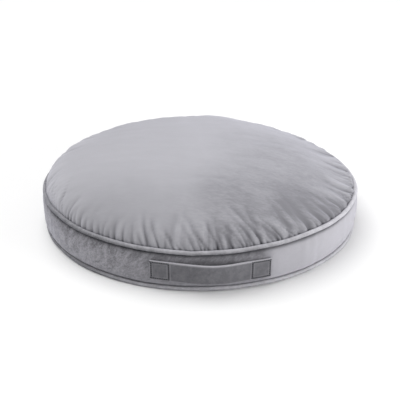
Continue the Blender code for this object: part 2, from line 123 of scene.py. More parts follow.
# Gathers of the top panel, zone by zone: from and to in degrees, spacing along the seam,
# shortest and longest, depth, width at the seam, and how far the inner end leans (radians).
GATHERS = [
    (192, 216, 0.0095, 0.036, 0.085, 0.0022, 0.0015, -0.22),
    (216, 246, 0.0108, 0.036, 0.060, 0.0030, 0.0020, -0.02),
    (246, 268, 0.0096, 0.034, 0.072, 0.0026, 0.0015, -0.08),
    (268, 300, 0.0098, 0.040, 0.105, 0.0029, 0.0016, -0.13),
    (300, 336, 0.0095, 0.020, 0.060, 0.0023, 0.0015, -0.08),
    (336, 362, 0.0080, 0.030, 0.065, 0.0040, 0.0015, -0.10),
    (2, 80, 0.0120, 0.018, 0.060, 0.0026, 0.0018, 0.06),
    (80, 160, 0.0115, 0.018, 0.055, 0.0026, 0.0018, -0.02),
    (160, 192, 0.0100, 0.022, 0.075, 0.0022, 0.0016, 0.05),
]
LONG_FOLDS = [
    (272, 326, 0.030, 0.075, 0.125, 0.0026, 0.0046, -0.13),
    (330, 400, 0.050, 0.070, 0.120, 0.0018, 0.0065, 0.05),
    (70, 200, 0.060, 0.060, 0.110, 0.0015, 0.0070, 0.05),
]


# ---- lines and waves ---------------------------------------------------------------------


def wave(angle, seed, count, slowest, fastest):
    """A wandering value round the cushion, about -1 to 1. Whole waves, so it joins up."""
    rng = np.random.default_rng(seed)
    total = 0
    for _ in range(count):
        waves = rng.integers(slowest, fastest + 1)
        total = total + rng.uniform(0.5, 1) * np.sin(waves * angle + rng.uniform(0, math.tau))
    return total / math.sqrt(count)


def rolling(x, y, seed, count, longest, shortest):
    """A wandering value over a plane, about -1 to 1, with waves of these lengths."""
    rng = np.random.default_rng(seed)
    total = 0
    for _ in range(count):
        pitch = rng.uniform(shortest, longest)
        way = rng.uniform(0, math.tau)
        along = (x * math.cos(way) + y * math.sin(way)) * math.tau / pitch
        total = total + rng.uniform(0.5, 1) * np.sin(along + rng.uniform(0, math.tau))
    return total / math.sqrt(count)


def eased(share):
    share = np.clip(share, 0, 1)
    return share * share * (3 - 2 * share)


def ridge(distance, width):
    """1 at no distance, falling away to nothing beyond a few widths."""
    return np.exp(-((distance / width) ** 2))


def bearing(angle, centre):
    """An angle as seen from a centre, between -pi and pi."""
    return (angle - centre + math.pi) % math.tau - math.pi


def rounded(points, cuts=3):
    """Cuts the corners of an open line again and again."""
    points = np.array(points, float)
    for _ in range(cuts):
        near = points[:-1] * 0.75 + points[1:] * 0.25
        far = points[:-1] * 0.25 + points[1:] * 0.75
        between = np.stack([near, far], 1).reshape(-1, points.shape[1])
        points = np.concatenate([points[:1], between, points[-1:]])
    return points


def spaced(points, count, closed=False):
    """The same line with its points evenly spaced."""
    points = np.array(points, float)
    if closed:
        points = np.concatenate([points, points[:1]])
    steps = np.linalg.norm(np.diff(points, axis=0), axis=1)
    walked = np.concatenate([[0], np.cumsum(steps)])
    wanted = np.linspace(0, walked[-1], count, endpoint=not closed)
    return np.stack([np.interp(wanted, walked, points[:, k]) for k in range(points.shape[1])], 1)


def arc(centre, radius, first_deg, last_deg, count):
    angles = np.radians(np.linspace(first_deg, last_deg, count))
    return np.stack([centre[0] + radius * np.cos(angles), centre[1] + radius * np.sin(angles)], 1)


def placed(radius, angle, height):
    """Points in space from a radius, an angle and a height, which share one shape."""
    radius, angle, height = np.broadcast_arrays(radius, angle, height)
    return np.stack([radius * np.cos(angle), radius * np.sin(angle), height], -1)


def round_again(count):
    return np.linspace(0, math.tau, count, endpoint=False)


def crowded(count):
    """Angles all the way round, closer together at the front."""
    even = round_again(count)
    return even + 0.30 * np.sin(even - REAR)


# ---- meshes ------------------------------------------------------------------------------


def new_object(name, data):
    """An object of the scene that holds this mesh, light or camera."""
    obj = bpy.data.objects.new(name, data)
    bpy.context.scene.collection.objects.link(obj)
    return obj


def piece(name, points, faces, finish, body="cushion", slot=None, sharp=50, marks=None):
    """A mesh object that rides on a body. marks are values at its points that its finish reads."""
    mesh = bpy.data.meshes.new(name)
    mesh.from_pydata(np.asarray(points, float).reshape(-1, 3).tolist(), [], faces)
    mesh.validate()
    mesh.materials.append(finish)
    mesh.shade_smooth()
    mesh.set_sharp_from_angle(angle=math.radians(sharp))
    for mark, values in (marks or {}).items():
        attribute = mesh.attributes.new(mark, "FLOAT", "POINT")
        attribute.data.foreach_set("value", np.asarray(values, np.float32).ravel())
    obj = new_object(name, mesh)
    if body:
        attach(obj, body)
    return obj


def grid_faces(index, wrap_rows, wrap_columns):
    """Four-sided faces over a grid of point numbers, which may join up either way round.
    Where a row or column has shrunk to one point, the faces have three sides."""
    rows = np.concatenate([index, index[:1]]) if wrap_rows else index
    both = np.concatenate([rows, rows[:, :1]], 1) if wrap_columns else rows
    quads = np.stack([both[:-1, :-1], both[1:, :-1], both[1:, 1:], both[:-1, 1:]], -1)
    quads = quads.reshape(-1, 4)
    pinched_far = quads[:, 2] == quads[:, 3]
    pinched_near = quads[:, 0] == quads[:, 1]
    whole = ~(pinched_far | pinched_near)
    return (
        quads[whole].tolist()
        + quads[pinched_far][:, [0, 1, 2]].tolist()
        + quads[pinched_near][:, [0, 2, 3]].tolist()
    )


def outward(middle, closed, pole=None):
    """Unit normals of a grid of points whose rows run round the cushion and whose columns run
    out along its base, up its side and in along its top."""
    along = np.gradient(middle, axis=1)
    if closed:
        about = np.roll(middle, -1, 0) - np.roll(middle, 1, 0)
    else:
        about = np.gradient(middle, axis=0)
    normal = np.cross(about, along)
    if pole is not None:
        normal[:, pole] = normal[:, 1 if pole == 0 else -2].mean(0)
    return normal / np.maximum(np.linalg.norm(normal, axis=-1, keepdims=True), 1e-12)


def cloth(name, middle, thickness, finish, closed=True, pole=None, marks=None, **more):
    """A closed piece of cloth about a grid of points half way through it. pole is 0 or -1
    where its first or last column is one point on the axis."""
    rows, columns = middle.shape[:2]
    offset = outward(middle, closed, pole) * thickness / 2
    points = np.stack([middle + offset, middle - offset]).reshape(-1, 3)
    outer = np.arange(rows * columns).reshape(rows, columns)
    if pole is not None:
        outer[:, pole] = outer[0, pole]
    inner = outer + rows * columns
    faces = grid_faces(outer, closed, False)
    faces += [face[::-1] for face in grid_faces(inner, closed, False)]
    if pole != 0:
        faces += grid_faces(np.stack([inner[:, 0], outer[:, 0]], 1), closed, False)
    if pole != -1:
        faces += grid_faces(np.stack([outer[:, -1], inner[:, -1]], 1), closed, False)
    if not closed:
        faces += grid_faces(np.stack([inner[0], outer[0]]), False, False)
        faces += grid_faces(np.stack([outer[-1], inner[-1]]), False, False)
    used, faces = without_spares(faces)
    marks = {mark: np.stack([grid, grid]).ravel()[used] for mark, grid in (marks or {}).items()}
    return piece(name, points[used], faces, finish, marks=marks, **more)


def without_spares(faces):
    """The numbers of the points that faces use, and the faces numbered again by them."""
    used = sorted({corner for face in faces for corner in face})
    number = {old: new for new, old in enumerate(used)}
    return used, [[number[corner] for corner in face] for face in faces]


def turned(name, sections, finish, poles=True, **more):
    """A closed solid. sections[i] is its outline at the i-th angle: from the axis at its base
    round to the axis at its top, or with no poles a ring that joins up."""
    rows, columns = sections.shape[:2]
    index = np.arange(rows * columns).reshape(rows, columns)
    if poles:
        index[:, 0] = index[0, 0]
        index[:, -1] = index[0, -1]
    used, faces = without_spares(grid_faces(index, True, not poles))
    return piece(name, sections.reshape(-1, 3)[used], faces, finish, **more)


def rod(line, radius, sides, upright, closed=False):
    """Points and faces of a round rod along a line. upright is never along the line."""
    line = np.asarray(line, float)
    ahead = np.roll(line, -1, 0) - np.roll(line, 1, 0) if closed else np.gradient(line, axis=0)
    ahead /= np.linalg.norm(ahead, axis=1, keepdims=True)
    side = np.cross(ahead, upright)
    side /= np.linalg.norm(side, axis=1, keepdims=True)
    other = np.cross(side, ahead)
    turn = round_again(sides)
    radius = np.broadcast_to(radius, (len(line),))[:, None, None]
    round_it = side[:, None] * np.cos(turn)[:, None] + other[:, None] * np.sin(turn)[:, None]
    points = (line[:, None] + radius * round_it).reshape(-1, 3)
    index = np.arange(len(points)).reshape(len(line), sides)
    faces = grid_faces(index, closed, True)
    if not closed:
        faces += [index[0][::-1].tolist(), index[-1].tolist()]
    return points, faces


def joined(parts):
    """Several (points, faces) as one."""
    points, faces, start = [], [], 0
    for part_points, part_faces in parts:
        points.append(part_points)
        faces += [[corner + start for corner in face] for face in part_faces]
        start += len(part_points)
    return np.concatenate(points), faces


def stitches(places, outs):
    """Short threads, each from one place to the next but one, bowed along its outward way."""
    made = []
    bow = np.array([-0.6, 0.35, 0.6, 0.35, -0.6])[:, None] * THREAD
    for start, end, out in zip(places[:-1:2], places[1::2], outs[::2]):
        line = start + (end - start) * np.linspace(0, 1, 5)[:, None] + out * bow
        thick = THREAD * np.array([0.5, 0.95, 1, 0.95, 0.5])
        made.append(rod(line, thick, 6, out))
    return joined(made)


# ---- how the cushion sits ----------------------------------------------------------------


def seam_height(angle, seam=TOP_SEAM):
    """How far a sewn edge rises and dips from a true circle. The top one is drawn up a little by
    the filling, except over the strap."""
    slow = 0.0006 * wave(angle, SEED, 4, 2, 6) + 0.00035 * wave(angle, SEED + 1, 5, 9, 24)
    if seam != TOP_SEAM:
        return slow
    degrees = np.degrees(angle) % 360
    kink = 0.0009 * ridge(degrees - 264, 1.6)
    held = 0.0024 * ridge(degrees - 267, 13)
    drawn = 0.0028 * eased((0.05 - np.sin(angle)) / 0.5) + 0.0016 * ridge(degrees - 303, 11)
    return slow + drawn - held - kink


def seam_reach(angle):
    """How far they run out and in."""
    return 0.0006 * wave(angle, SEED + 2, 4, 2, 7) + 0.0002 * wave(angle, SEED + 3, 5, 12, 34)


def band_reach(height):
    """Radius of the middle of the band's cloth, which bellies out between the seams."""
    widest = BAND - VELVET / 2
    at_seam = PIPING_CENTRE - BAND_TUCK
    share = np.abs((height - MIDDLE) / HALF_HEIGHT)
    return widest - (widest - at_seam) * share**BAND_FULLNESS


def by_strap(angle):
    """1 at the strap and where it is sewn down, 0 away from it."""
    return 1 - eased((np.abs(bearing(angle, FRONT)) - STRAP_END) / 0.05)


def by_zip(angle):
    """1 along the zip, 0 away from it."""
    return 1 - eased((np.abs(bearing(angle, REAR)) - ZIP_HALF) / 0.04)


def band_ripple(angle, height):
    """Soft upright ripples of the band, and small puckers below and above its seams."""
    share = (height - MIDDLE) / HALF_HEIGHT
    full = np.clip(1 - share**2, 0, 1)
    lean = angle + 0.02 * share * wave(angle, SEED + 11, 3, 3, 9)
    slow = 0.0009 * wave(lean, SEED + 12, 7, 8, 36)
    quick = 0.00045 * wave(lean, SEED + 13, 8, 40, 110) * (0.4 + np.abs(share))
    pucker = 0.0005 * wave(angle, SEED + 14, 8, 120, 190) * np.exp(-(1 - np.abs(share)) / 0.16)
    loose = 1 - 0.85 * by_strap(angle) - 0.7 * by_zip(angle)
    return (slow * full + quick * full**0.5) * loose + pucker * (1 - by_strap(angle) * full)


def folds(zones, seed):
    """Every gather of these zones as (angle, length, depth, width, lean)."""
    rng = np.random.default_rng(seed)
    found = []
    for first, last, spacing, shortest, longest, depth, width, lean in zones:
        angle = math.radians(first)
        while angle < math.radians(last):
            drawn = rng.uniform() ** 2
            length = shortest + (longest - shortest) * drawn
            deep = depth * (rng.uniform(0.25, 0.75) + 0.45 * drawn)
            wide = width * rng.uniform(0.75, 1.35)
            turn = lean * rng.uniform(0.2, 1.5) + rng.normal(0, 0.014)
            found.append((angle, length, deep, wide, turn))
            angle += spacing / PIPING_CENTRE * rng.uniform(0.45, 1.60)
    return found


def gathered(angle, inward):
    """Rise of the gathers at an angle and a distance in from the seam, for grids of both. It is
    negative in their valleys, and a little positive in the ridges beside them."""
    total = np.zeros(np.broadcast(angle, inward).shape)
    for where, length, depth, width, lean in folds(GATHERS, SEED) + folds(LONG_FOLDS, SEED + 5):
        share = inward / length
        strength = np.clip(1 - share, 0, 1) ** 1.2 * (1 + 0.8 * np.minimum(share, 1))
        line = where + lean * share**1.3
        reach = np.maximum(PIPING_CENTRE - inward, 0)
        off = np.abs(bearing(angle, line)) * reach
        wide = width * (1 + 1.3 * share)
        valley = np.exp(-((off / wide) ** 1.25)) - 0.38 * ridge(off - 2.2 * wide, wide)
        total -= depth * strength * valley
    return total


# ---- finishes ----------------------------------------------------------------------------


class Value:
    """A socket of a finish. Arithmetic on it adds the nodes that work it out."""

    def __init__(self, finish, socket):
        self.finish = finish
        self.socket = socket

    def worked(self, operation, first, second):
        vector = any(isinstance(v, Value) and v.socket.type == "VECTOR" for v in (first, second))
        kind = "ShaderNodeVectorMath" if vector else "ShaderNodeMath"
        pair = [(v, v, v) if vector and isinstance(v, (int, float)) else v for v in (first, second)]
        return self.finish.node(kind, {"operation": operation}, {0: pair[0], 1: pair[1]})

    def __add__(self, other):
        return self.worked("ADD", self, other)

    def __radd__(self, other):
        return self.worked("ADD", other, self)

    def __sub__(self, other):
        return self.worked("SUBTRACT", self, other)

    def __rsub__(self, other):
        return self.worked("SUBTRACT", other, self)

    def __mul__(self, other):
        return self.worked("MULTIPLY", self, other)

    def __rmul__(self, other):
        return self.worked("MULTIPLY", other, self)

    def __pow__(self, other):
        return self.worked("POWER", self, other)

    def __neg__(self):
        return self * -1

    def part(self, axis):
        """One of a vector's three numbers."""
        return self.finish.node("ShaderNodeSeparateXYZ", {}, {0: self}, axis)


class Finish:
    """A material being made. Its shader is ready, and node() adds anything else."""

    def __init__(self, name, **settings):
        self.material = bpy.data.materials.new(name)
        self.material.use_nodes = True
        self.tree = self.material.node_tree
        self.shader = self.tree.nodes["Principled BSDF"]
        for key, value in settings.items():
            self.set(key.replace("_", " "), value)
        self.place = self.node("ShaderNodeTexCoord", {}, {}, "Object")

    def node(self, kind, settings=None, values=None, output=0):
        """Adds a node, with its settings first, and gives one of its outputs."""
        made = self.tree.nodes.new(kind)
        for key, value in (settings or {}).items():
            setattr(made, key, value)
        for key, value in (values or {}).items():
            self.join(value, made.inputs[key])
        return Value(self, made.outputs[output])

    def join(self, value, socket):
        if isinstance(value, Value):
            self.tree.links.new(value.socket, socket)
        elif isinstance(value, tuple) and socket.type == "RGBA":
            socket.default_value = (*value[:3], 1)
        else:
            socket.default_value = value

    def set(self, name, value):
        """Sets or links one of the shader's own sockets."""
        self.join(value, self.shader.inputs[name])

    def shade_creases(self, share):
        """Paints shade: mixes in a flat dark colour by a share, where a crease lies in shade."""
        flat = self.node("ShaderNodeBsdfDiffuse", {}, {"Color": CREASE_SHADE})
        pile_shader = Value(self, self.shader.outputs[0])
        both = self.node("ShaderNodeMixShader", {}, {0: self.held(share), 1: pile_shader, 2: flat})
        self.join(both, self.tree.nodes["Material Output"].inputs[0])

    def math(self, operation, *values):
        return self.node("ShaderNodeMath", {"operation": operation}, dict(enumerate(values)))

    def mark(self, name):
        """A value that the piece carries at its points."""
        return self.node("ShaderNodeAttribute", {"attribute_name": name}, {}, "Fac")

    def held(self, value):
        """A value kept between 0 and 1."""
        return self.node("ShaderNodeClamp", {}, {0: value})

    def between(self, value, low, high):
        """0 below low, 1 above high, and smooth between them."""
        settings = {"interpolation_type": "SMOOTHSTEP"}
        return self.node("ShaderNodeMapRange", settings, {0: value, 1: low, 2: high})

    def noise(self, place, scale, detail=2.0, roughness=0.5, bend=0.0):
        values = {
            "Vector": place, "Scale": scale, "Detail": detail, "Roughness": roughness,
            "Distortion": bend,
        }
        return self.node("ShaderNodeTexNoise", {}, values, "Fac")

    def mixed(self, share, first, second):
        """A colour between two colours."""
        made = self.tree.nodes.new("ShaderNodeMix")
        made.data_type = "RGBA"
        for number, value in ((0, share), (6, first), (7, second)):
            self.join(value, made.inputs[number])
        return Value(self, made.outputs[2])

    def stretched(self, place, x, y, z, turn=0.0):
        """The place turned about Z and squeezed, so that a pattern on it is drawn out."""
        turned_place = self.node(
            "ShaderNodeVectorRotate", {"rotation_type": "Z_AXIS"}, {"Vector": place, "Angle": turn}
        )
        return turned_place * self.node("ShaderNodeCombineXYZ", {}, {0: x, 1: y, 2: z})

    def bumped(self, height, strength, distance, over=None):
        values = {"Strength": strength, "Distance": distance, "Height": height}
        if over is not None:
            values["Normal"] = over
        return self.node("ShaderNodeBump", {}, values)


def nap(finish, place, coarse, fine):
    """Crushed pile: patches brushed one way or the other, and a finer break-up of them."""
    patches = finish.noise(place, coarse, 3.0, 0.55, 0.4)
    broken = finish.noise(place, fine, 4.0, 0.62, 0.8)
    return finish.between(patches, 0.36, 0.64), finish.between(broken, 0.32, 0.68)


def pile(finish):
    """The short fibres themselves."""
    tufts = finish.noise(finish.place, 2600.0, 2.0, 0.6)
    lie = finish.noise(finish.stretched(finish.place, 1, 1, 0.35), 900.0, 3.0, 0.6)
    return finish.bumped(tufts * 0.5 + lie, 0.35, 0.0004)


def velvet(name):
    """A velvet that shines a little at its edges, still without its colour."""
    finish = Finish(name, Sheen_Weight=0.45, Sheen_Roughness=0.42, Sheen_Tint=(0.80, 0.80, 0.92))
    finish.set("Specular IOR Level", 0.25)
    return finish


def coloured(finish, tone, dark, light, patches, broken, fuzz=(0.7, 0.25, 0.0004), roughness=0.72):
    """Gives a velvet its colour by a tone from dark to light, and its crushed pile: fuzz is the
    share of the finer break-up, the strength and the height."""
    share, strength, height = fuzz
    finish.set("Base Color", finish.mixed(finish.held(tone), dark, light))
    finish.set("Roughness", roughness + broken * 0.14)
    finish.set("Normal", finish.bumped(patches + broken * share, strength, height, pile(finish)))
    return finish.material


def crown_velvet():
    """The top: smooth and pale, with a wide brushed patch whose nap lies in streaks, and painted
    shade.
    """
    finish = velvet("velvet_crown")
    dark, light = (0.190, 0.188, 0.205), (0.430, 0.426, 0.456)
    x, y = finish.place.part(0), finish.place.part(1)
    streaked = finish.stretched(finish.place, 0.36, 1.0, 1.0, 0.25)
    patches, broken = nap(finish, streaked, 42.0, 230.0)
    slow = finish.noise(finish.place, 7.0, 2.0, 0.5, 0.3)
    edge = x * 0.8 - y * 0.35 + slow * 0.16
    brushed = finish.between(edge, 0.075, 0.21)
    front = finish.between(-y + slow * 0.10, 0.10, 0.33)
    hollow = finish.math("SQRT", (x - 0.185) ** 2 + (y + 0.185) ** 2) + (slow - 0.5) * 0.10
    laid = 1 - finish.between(hollow, 0.02, 0.10)
    left = front * (1 - finish.between(x, -0.16, 0.02))
    # Painted shade: darker toward the front, and more so at the front left.
    tone = 0.87 - front * 0.28 - left * 0.14 - brushed * 0.36 - laid * 0.40
    tone = tone + (patches - 0.5) * (brushed * 0.10 + 0.04)
    tone = tone + (broken - 0.5) * (brushed * 0.16 + 0.06)
    # Painted shade in the gathers' valleys and a painted highlight on their ridges, by the fold
    # mark.
    tone = tone + finish.mark("fold") * 0.28
    # Painted shade: a flat dark colour beside the piping and in the deepest valleys, by the deep
    # mark.
    finish.shade_creases(finish.mark("deep") * 0.68)
    return coloured(finish, tone, dark, light, patches, broken, (0.4, 0.2, 0.0004), 0.70)


def band_velvet():
    """The band: darker mottled nap one way from the strap, smooth pale nap the other, and painted
    light.
    """
    finish = velvet("velvet_band")
    dark, light = (0.085, 0.084, 0.093), (0.520, 0.510, 0.550)
    x, z = finish.place.part(0), finish.place.part(2)
    slant = {"Vector": finish.place, "Angle": 0.7}
    slanted = finish.node("ShaderNodeVectorRotate", {"rotation_type": "Y_AXIS"}, slant)
    drawn = finish.stretched(slanted, 0.45, 1.0, 1.0)
    patches, broken = nap(finish, drawn, 100.0, 420.0)
    slow = finish.noise(finish.place, 11.0, 2.0)
    front = finish.between(-finish.place.part(1), -0.02, 0.16)
    sharp = finish.between(x + (slow - 0.5) * 0.03, 0.080, 0.104)
    gradual = finish.between(x + (slow - 0.5) * 0.2, -0.20, 0.30)
    brushed = sharp * front + gradual * (1 - front)
    shaded = finish.between(x + (slow - 0.5) * 0.10, -0.16, -0.06) * front
    # Painted light: paler toward the right, where the side lamp falls.
    paler = finish.between(x, 0.09, 0.30)
    # Painted shade under the top piping.
    under = finish.between(z + (slow - 0.5) * 0.02, TOP_SEAM - 0.028, TOP_SEAM - 0.006)
    mottled = (patches - 0.5) * 0.20 + (broken - 0.5) * 0.30
    tone = 0.34 + slow * 0.10 - shaded * 0.08 + brushed * 0.31 + paler * 0.17
    tone = tone + mottled * (1 - brushed * 0.8) * (1 - shaded * 0.5) - under * (1 - brushed) * 0.12
    # Painted highlight low on the shaded front left, along the bottom seam.
    tone = tone + (1 - finish.between(z, BOTTOM_SEAM + 0.004, BOTTOM_SEAM + 0.014)) * shaded * 0.16
    # Painted shade in the creases and round the strap, stronger on the lower half.
    low = 1 - finish.between(z, MIDDLE, MIDDLE + 0.01)
    finish.shade_creases(finish.mark("deep") * (0.62 + low * 0.28))
    return coloured(finish, tone, dark, light, patches, broken, (0.7, 0.3, 0.0006))


def base_velvet():
    """The bottom panel's velvet, of an even tone."""
    finish = velvet("velvet_base")
    dark, light = (0.20, 0.20, 0.215), (0.33, 0.33, 0.35)
    patches, broken = nap(finish, finish.stretched(finish.place, 1, 1, 0.6), 110.0, 260.0)
    tone = 0.5 + (patches - 0.5) * 0.4 + (broken - 0.5) * 0.35
    return coloured(finish, tone, dark, light, patches, broken)


def strap_velvet():
    """Velvet pressed flat by its sewing, with painted highlights along its folds and painted shade
    in its grooves.
    """
    finish = velvet("velvet_strap")
    dark, light = (0.050, 0.050, 0.056), (0.560, 0.550, 0.590)
    patches, broken = nap(finish, finish.place, 95.0, 300.0)
    tone = 0.150 + (patches - 0.5) * 0.05 + (broken - 0.5) * 0.05
    # Painted highlights by the lit mark, and painted shade in the stitched grooves.
    tone = tone + finish.mark("lit") * 0.50 - finish.mark("groove") * 0.16
    finish.shade_creases(finish.mark("groove") * 0.8)
    return coloured(finish, tone, dark, light, patches, broken)


def piping_velvet():
    """The pipings' velvet, with painted light: paler at the front and more to the right, and along
    the floor.
    """
    finish = velvet("velvet_piping")
    dark, light = (0.100, 0.100, 0.108), (0.700, 0.690, 0.735)
    patches, broken = nap(finish, finish.place, 70.0, 260.0)
    x, z = finish.place.part(0), finish.place.part(2)
    front = finish.between(x, -0.27, -0.04)
    right = finish.between(x, 0.06, 0.24)
    low = 1 - finish.between(z, 0.01, 0.03)
    # Painted light: lighter at the front and right, where light falls, low down where the floor
    # throws light up, and on the upper side by the lit mark.
    tone = 0.08 + front * 0.26 + right * (0.27 - low * 0.14) + low * front * 0.14
    tone = tone + (finish.mark("lit") - 0.35) * 0.22 * (1 - right * 0.6)
    tone = tone + (patches - 0.5) * 0.10 + (broken - 0.5) * 0.12
    return coloured(finish, tone, dark, light, patches, broken)


def woven(name, dark, light, per_metre):
    """Plain weave: threads over and under each other."""
    finish = Finish(name, Roughness=0.85, Sheen_Weight=0.15, Sheen_Roughness=0.5)
    turn = finish.place * per_metre
    warp = finish.math("SINE", turn.part(0)) * finish.math("SINE", turn.part(1))
    weft = finish.math("SINE", turn.part(2) + turn.part(1) * 0.5)
    weave = finish.held(0.5 + warp * 0.25 + weft * 0.25)
    slub = finish.noise(finish.stretched(finish.place, 1, 1, 4), 300.0, 3.0)
    tone = finish.held(weave * 0.6 + slub * 0.4)
    finish.set("Base Color", finish.mixed(tone, dark, light))
    finish.set("Normal", finish.bumped(weave + slub * 0.5, 0.5, 0.0003))
    return finish.material


def foam_finish():
    finish = Finish("cut_foam", Roughness=0.95, Sheen_Weight=0.1)
    cell_size = {"Vector": finish.place, "Scale": 900.0}
    cells = finish.node("ShaderNodeTexVoronoi", {}, cell_size, "Distance")
    cloudy = finish.noise(finish.place, 30.0, 3.0)
    finish.set("Base Color", finish.mixed(cloudy, (0.80, 0.72, 0.48), (0.88, 0.82, 0.62)))
    finish.set("Normal", finish.bumped(cells, 0.5, 0.0006))
    return finish.material


def wadding_finish():
    finish = Finish("fibre_wadding", Roughness=1.0, Sheen_Weight=0.5, Sheen_Roughness=0.6)
    lofty = finish.noise(finish.place, 120.0, 5.0, 0.7, 1.2)
    finish.set("Base Color", finish.mixed(lofty, (0.78, 0.78, 0.77), (0.93, 0.93, 0.92)))
    finish.set("Normal", finish.bumped(lofty, 0.8, 0.002))
    return finish.material


def cord_finish():
    finish = Finish("twisted_cotton", Roughness=0.9, Sheen_Weight=0.2)
    lint = finish.noise(finish.place, 1400.0, 3.0, 0.6)
    finish.set("Base Color", finish.mixed(lint, (0.70, 0.67, 0.60), (0.86, 0.84, 0.78)))
    finish.set("Normal", finish.bumped(lint, 0.6, 0.0003))
    return finish.material


def thread_finish():
    finish = Finish("polyester_thread", Roughness=0.45, Sheen_Weight=0.3)
    ply = finish.noise(finish.place, 3000.0, 2.0)
    finish.set("Base Color", finish.mixed(ply, (0.20, 0.20, 0.22), (0.34, 0.34, 0.37)))
    finish.set("Normal", finish.bumped(ply, 0.4, 0.0001))
    return finish.material


def nylon_finish():
    finish = Finish("coil_nylon", Coat_Weight=0.2)
    cloudy = finish.noise(finish.place, 400.0, 2.0)
    finish.set("Base Color", finish.mixed(cloudy, (0.15, 0.15, 0.165), (0.22, 0.22, 0.24)))
    finish.set("Roughness", 0.32 + cloudy * 0.2)
    return finish.material


def nickel_finish():
    """Plated zinc with fine scratches and dull spots."""
    finish = Finish("nickel_plate", Metallic=1.0)
    scratches = finish.noise(finish.stretched(finish.place, 1, 1, 14), 500.0, 4.0, 0.7)
    tarnish = finish.noise(finish.place, 260.0, 3.0)
    worn = finish.between(tarnish, 0.45, 0.75)
    finish.set("Base Color", finish.mixed(worn, (0.64, 0.63, 0.61), (0.47, 0.46, 0.45)))
    finish.set("Roughness", 0.20 + worn * 0.18 + scratches * 0.12)
    finish.set("Normal", finish.bumped(scratches, 0.15, 0.0001))
    return finish.material


# ---- cover -------------------------------------------------------------------------------


def crown_line(count, evenness=1.7):
    """(radius, height) from the seam to the axis, closer together near the seam, and how far
    each point is in from the seam."""
    power = 2 / CROWN_FULLNESS
    reach = SEAM_FACE
    rise = CROWN_TOP - VELVET / 2 - TOP_SEAM + CROWN_EXTRA
    angles = np.linspace(0, math.pi / 2, 4000)
    line = np.stack([reach * np.cos(angles) ** power, TOP_SEAM + rise * np.sin(angles) ** power], 1)
    walked = np.concatenate([[0], np.cumsum(np.linalg.norm(np.diff(line, axis=0), axis=1))])
    wanted = walked[-1] * np.linspace(0, 1, count) ** evenness
    radius = np.interp(wanted, walked, line[:, 0])
    height = np.interp(wanted, walked, line[:, 1])
    return radius, height, wanted


def slumped(share, angle):
    """How far the filling has settled, more to the right, at a share of the radius."""
    lobe = np.clip(np.cos(angle + math.radians(9)), 0, 1) ** 1.4
    shoulder = share**3 * (1 - share**10) / 0.55
    return 0.0205 * lobe * shoulder + 0.0042 * share * np.cos(angle) * (1 - share**2)


def crown_grid(angles, rings, gathers=1.0, wrinkles=0.0):
    """The top panel's middle, gathered and settled, from its seam to its centre."""
    radius, height, inward = crown_line(rings)
    angle = angles[:, None]
    near = np.exp(-inward / 0.03)
    height = height - slumped(radius / PIPING_CENTRE, angle)
    radius = radius + near * seam_reach(angle)
    height = height + near * seam_height(angle)
    points = placed(radius, angle, height)
    normal = outward(points, True, -1)
    rise = (gathers * gathered(angle, inward[None]) + wrinkles) * eased(inward / 0.0025)
    x, y = points[..., 0], points[..., 1]
    soft = eased(inward / 0.06)
    rise = rise + 0.0009 * rolling(x, y, SEED + 21, 7, 0.20, 0.09) * soft
    rise = rise + 0.00035 * rolling(x, y, SEED + 22, 10, 0.06, 0.03) * soft
    rise[:, -1] = rise[:, -2].mean()
    return points + normal * rise[..., None]


def loose_panel(points, pinned, ease):
    """A sheet of these points for the cloth solver, held along its seam and cut too large by
    its ease (0 to 1) times CUT_EASE."""
    rows, columns = points.shape[:2]
    index = np.arange(rows * columns).reshape(rows, columns)
    index[:, -1] = index[0, -1]
    used, faces = without_spares(grid_faces(index, True, False))
    mesh = bpy.data.meshes.new("loose_panel")
    mesh.from_pydata(points.reshape(-1, 3)[used].tolist(), [], faces)
    obj = new_object("loose_panel", mesh)
    column = np.array(used) % columns
    held = obj.vertex_groups.new(name="held")
    held.add(np.flatnonzero(column < pinned).tolist(), 1.0, "REPLACE")
    loose = obj.vertex_groups.new(name="ease")
    for number in range(columns):
        loose.add(np.flatnonzero(column == number).tolist(), float(ease[number]), "REPLACE")
    return obj, np.array(used)


def simulated(points, ease):
    """The same points after the filling has pushed the loose panel out. The two rows of points
    at the seam are held."""
    obj, used = loose_panel(points, 2, ease)
    solver = obj.modifiers.new("cloth", "CLOTH")
    cloth_settings = {
        "quality": 5, "mass": 0.15, "tension_stiffness": 12, "compression_stiffness": 12,
        "shear_stiffness": 4, "bending_stiffness": 0.1, "tension_damping": 8,
        "compression_damping": 8, "shear_damping": 4, "bending_damping": 0.5, "air_damping": 2,
        "vertex_group_mass": "held", "use_pressure": True, "uniform_pressure_force": 3.0,
        "vertex_group_shrink": "ease", "shrink_min": 0.0, "shrink_max": -CUT_EASE,
    }
    for key, value in cloth_settings.items():
        setattr(solver.settings, key, value)
    solver.settings.effector_weights.gravity = 0
    solver.collision_settings.use_collision = False
    solver.point_cache.frame_end = FRAMES
    for step in range(1, FRAMES + 1):
        bpy.context.scene.frame_set(step)
    settled = obj.evaluated_get(bpy.context.evaluated_depsgraph_get()).data
    found = np.empty(len(settled.vertices) * 3)
    settled.vertices.foreach_get("co", found)
    result = points.reshape(-1, 3).copy()
    result[used] = found.reshape(-1, 3)
    result = result.reshape(points.shape)
    result[:, -1] = result[0, -1]
    bpy.data.objects.remove(obj)
    bpy.context.scene.frame_set(1)
    return result


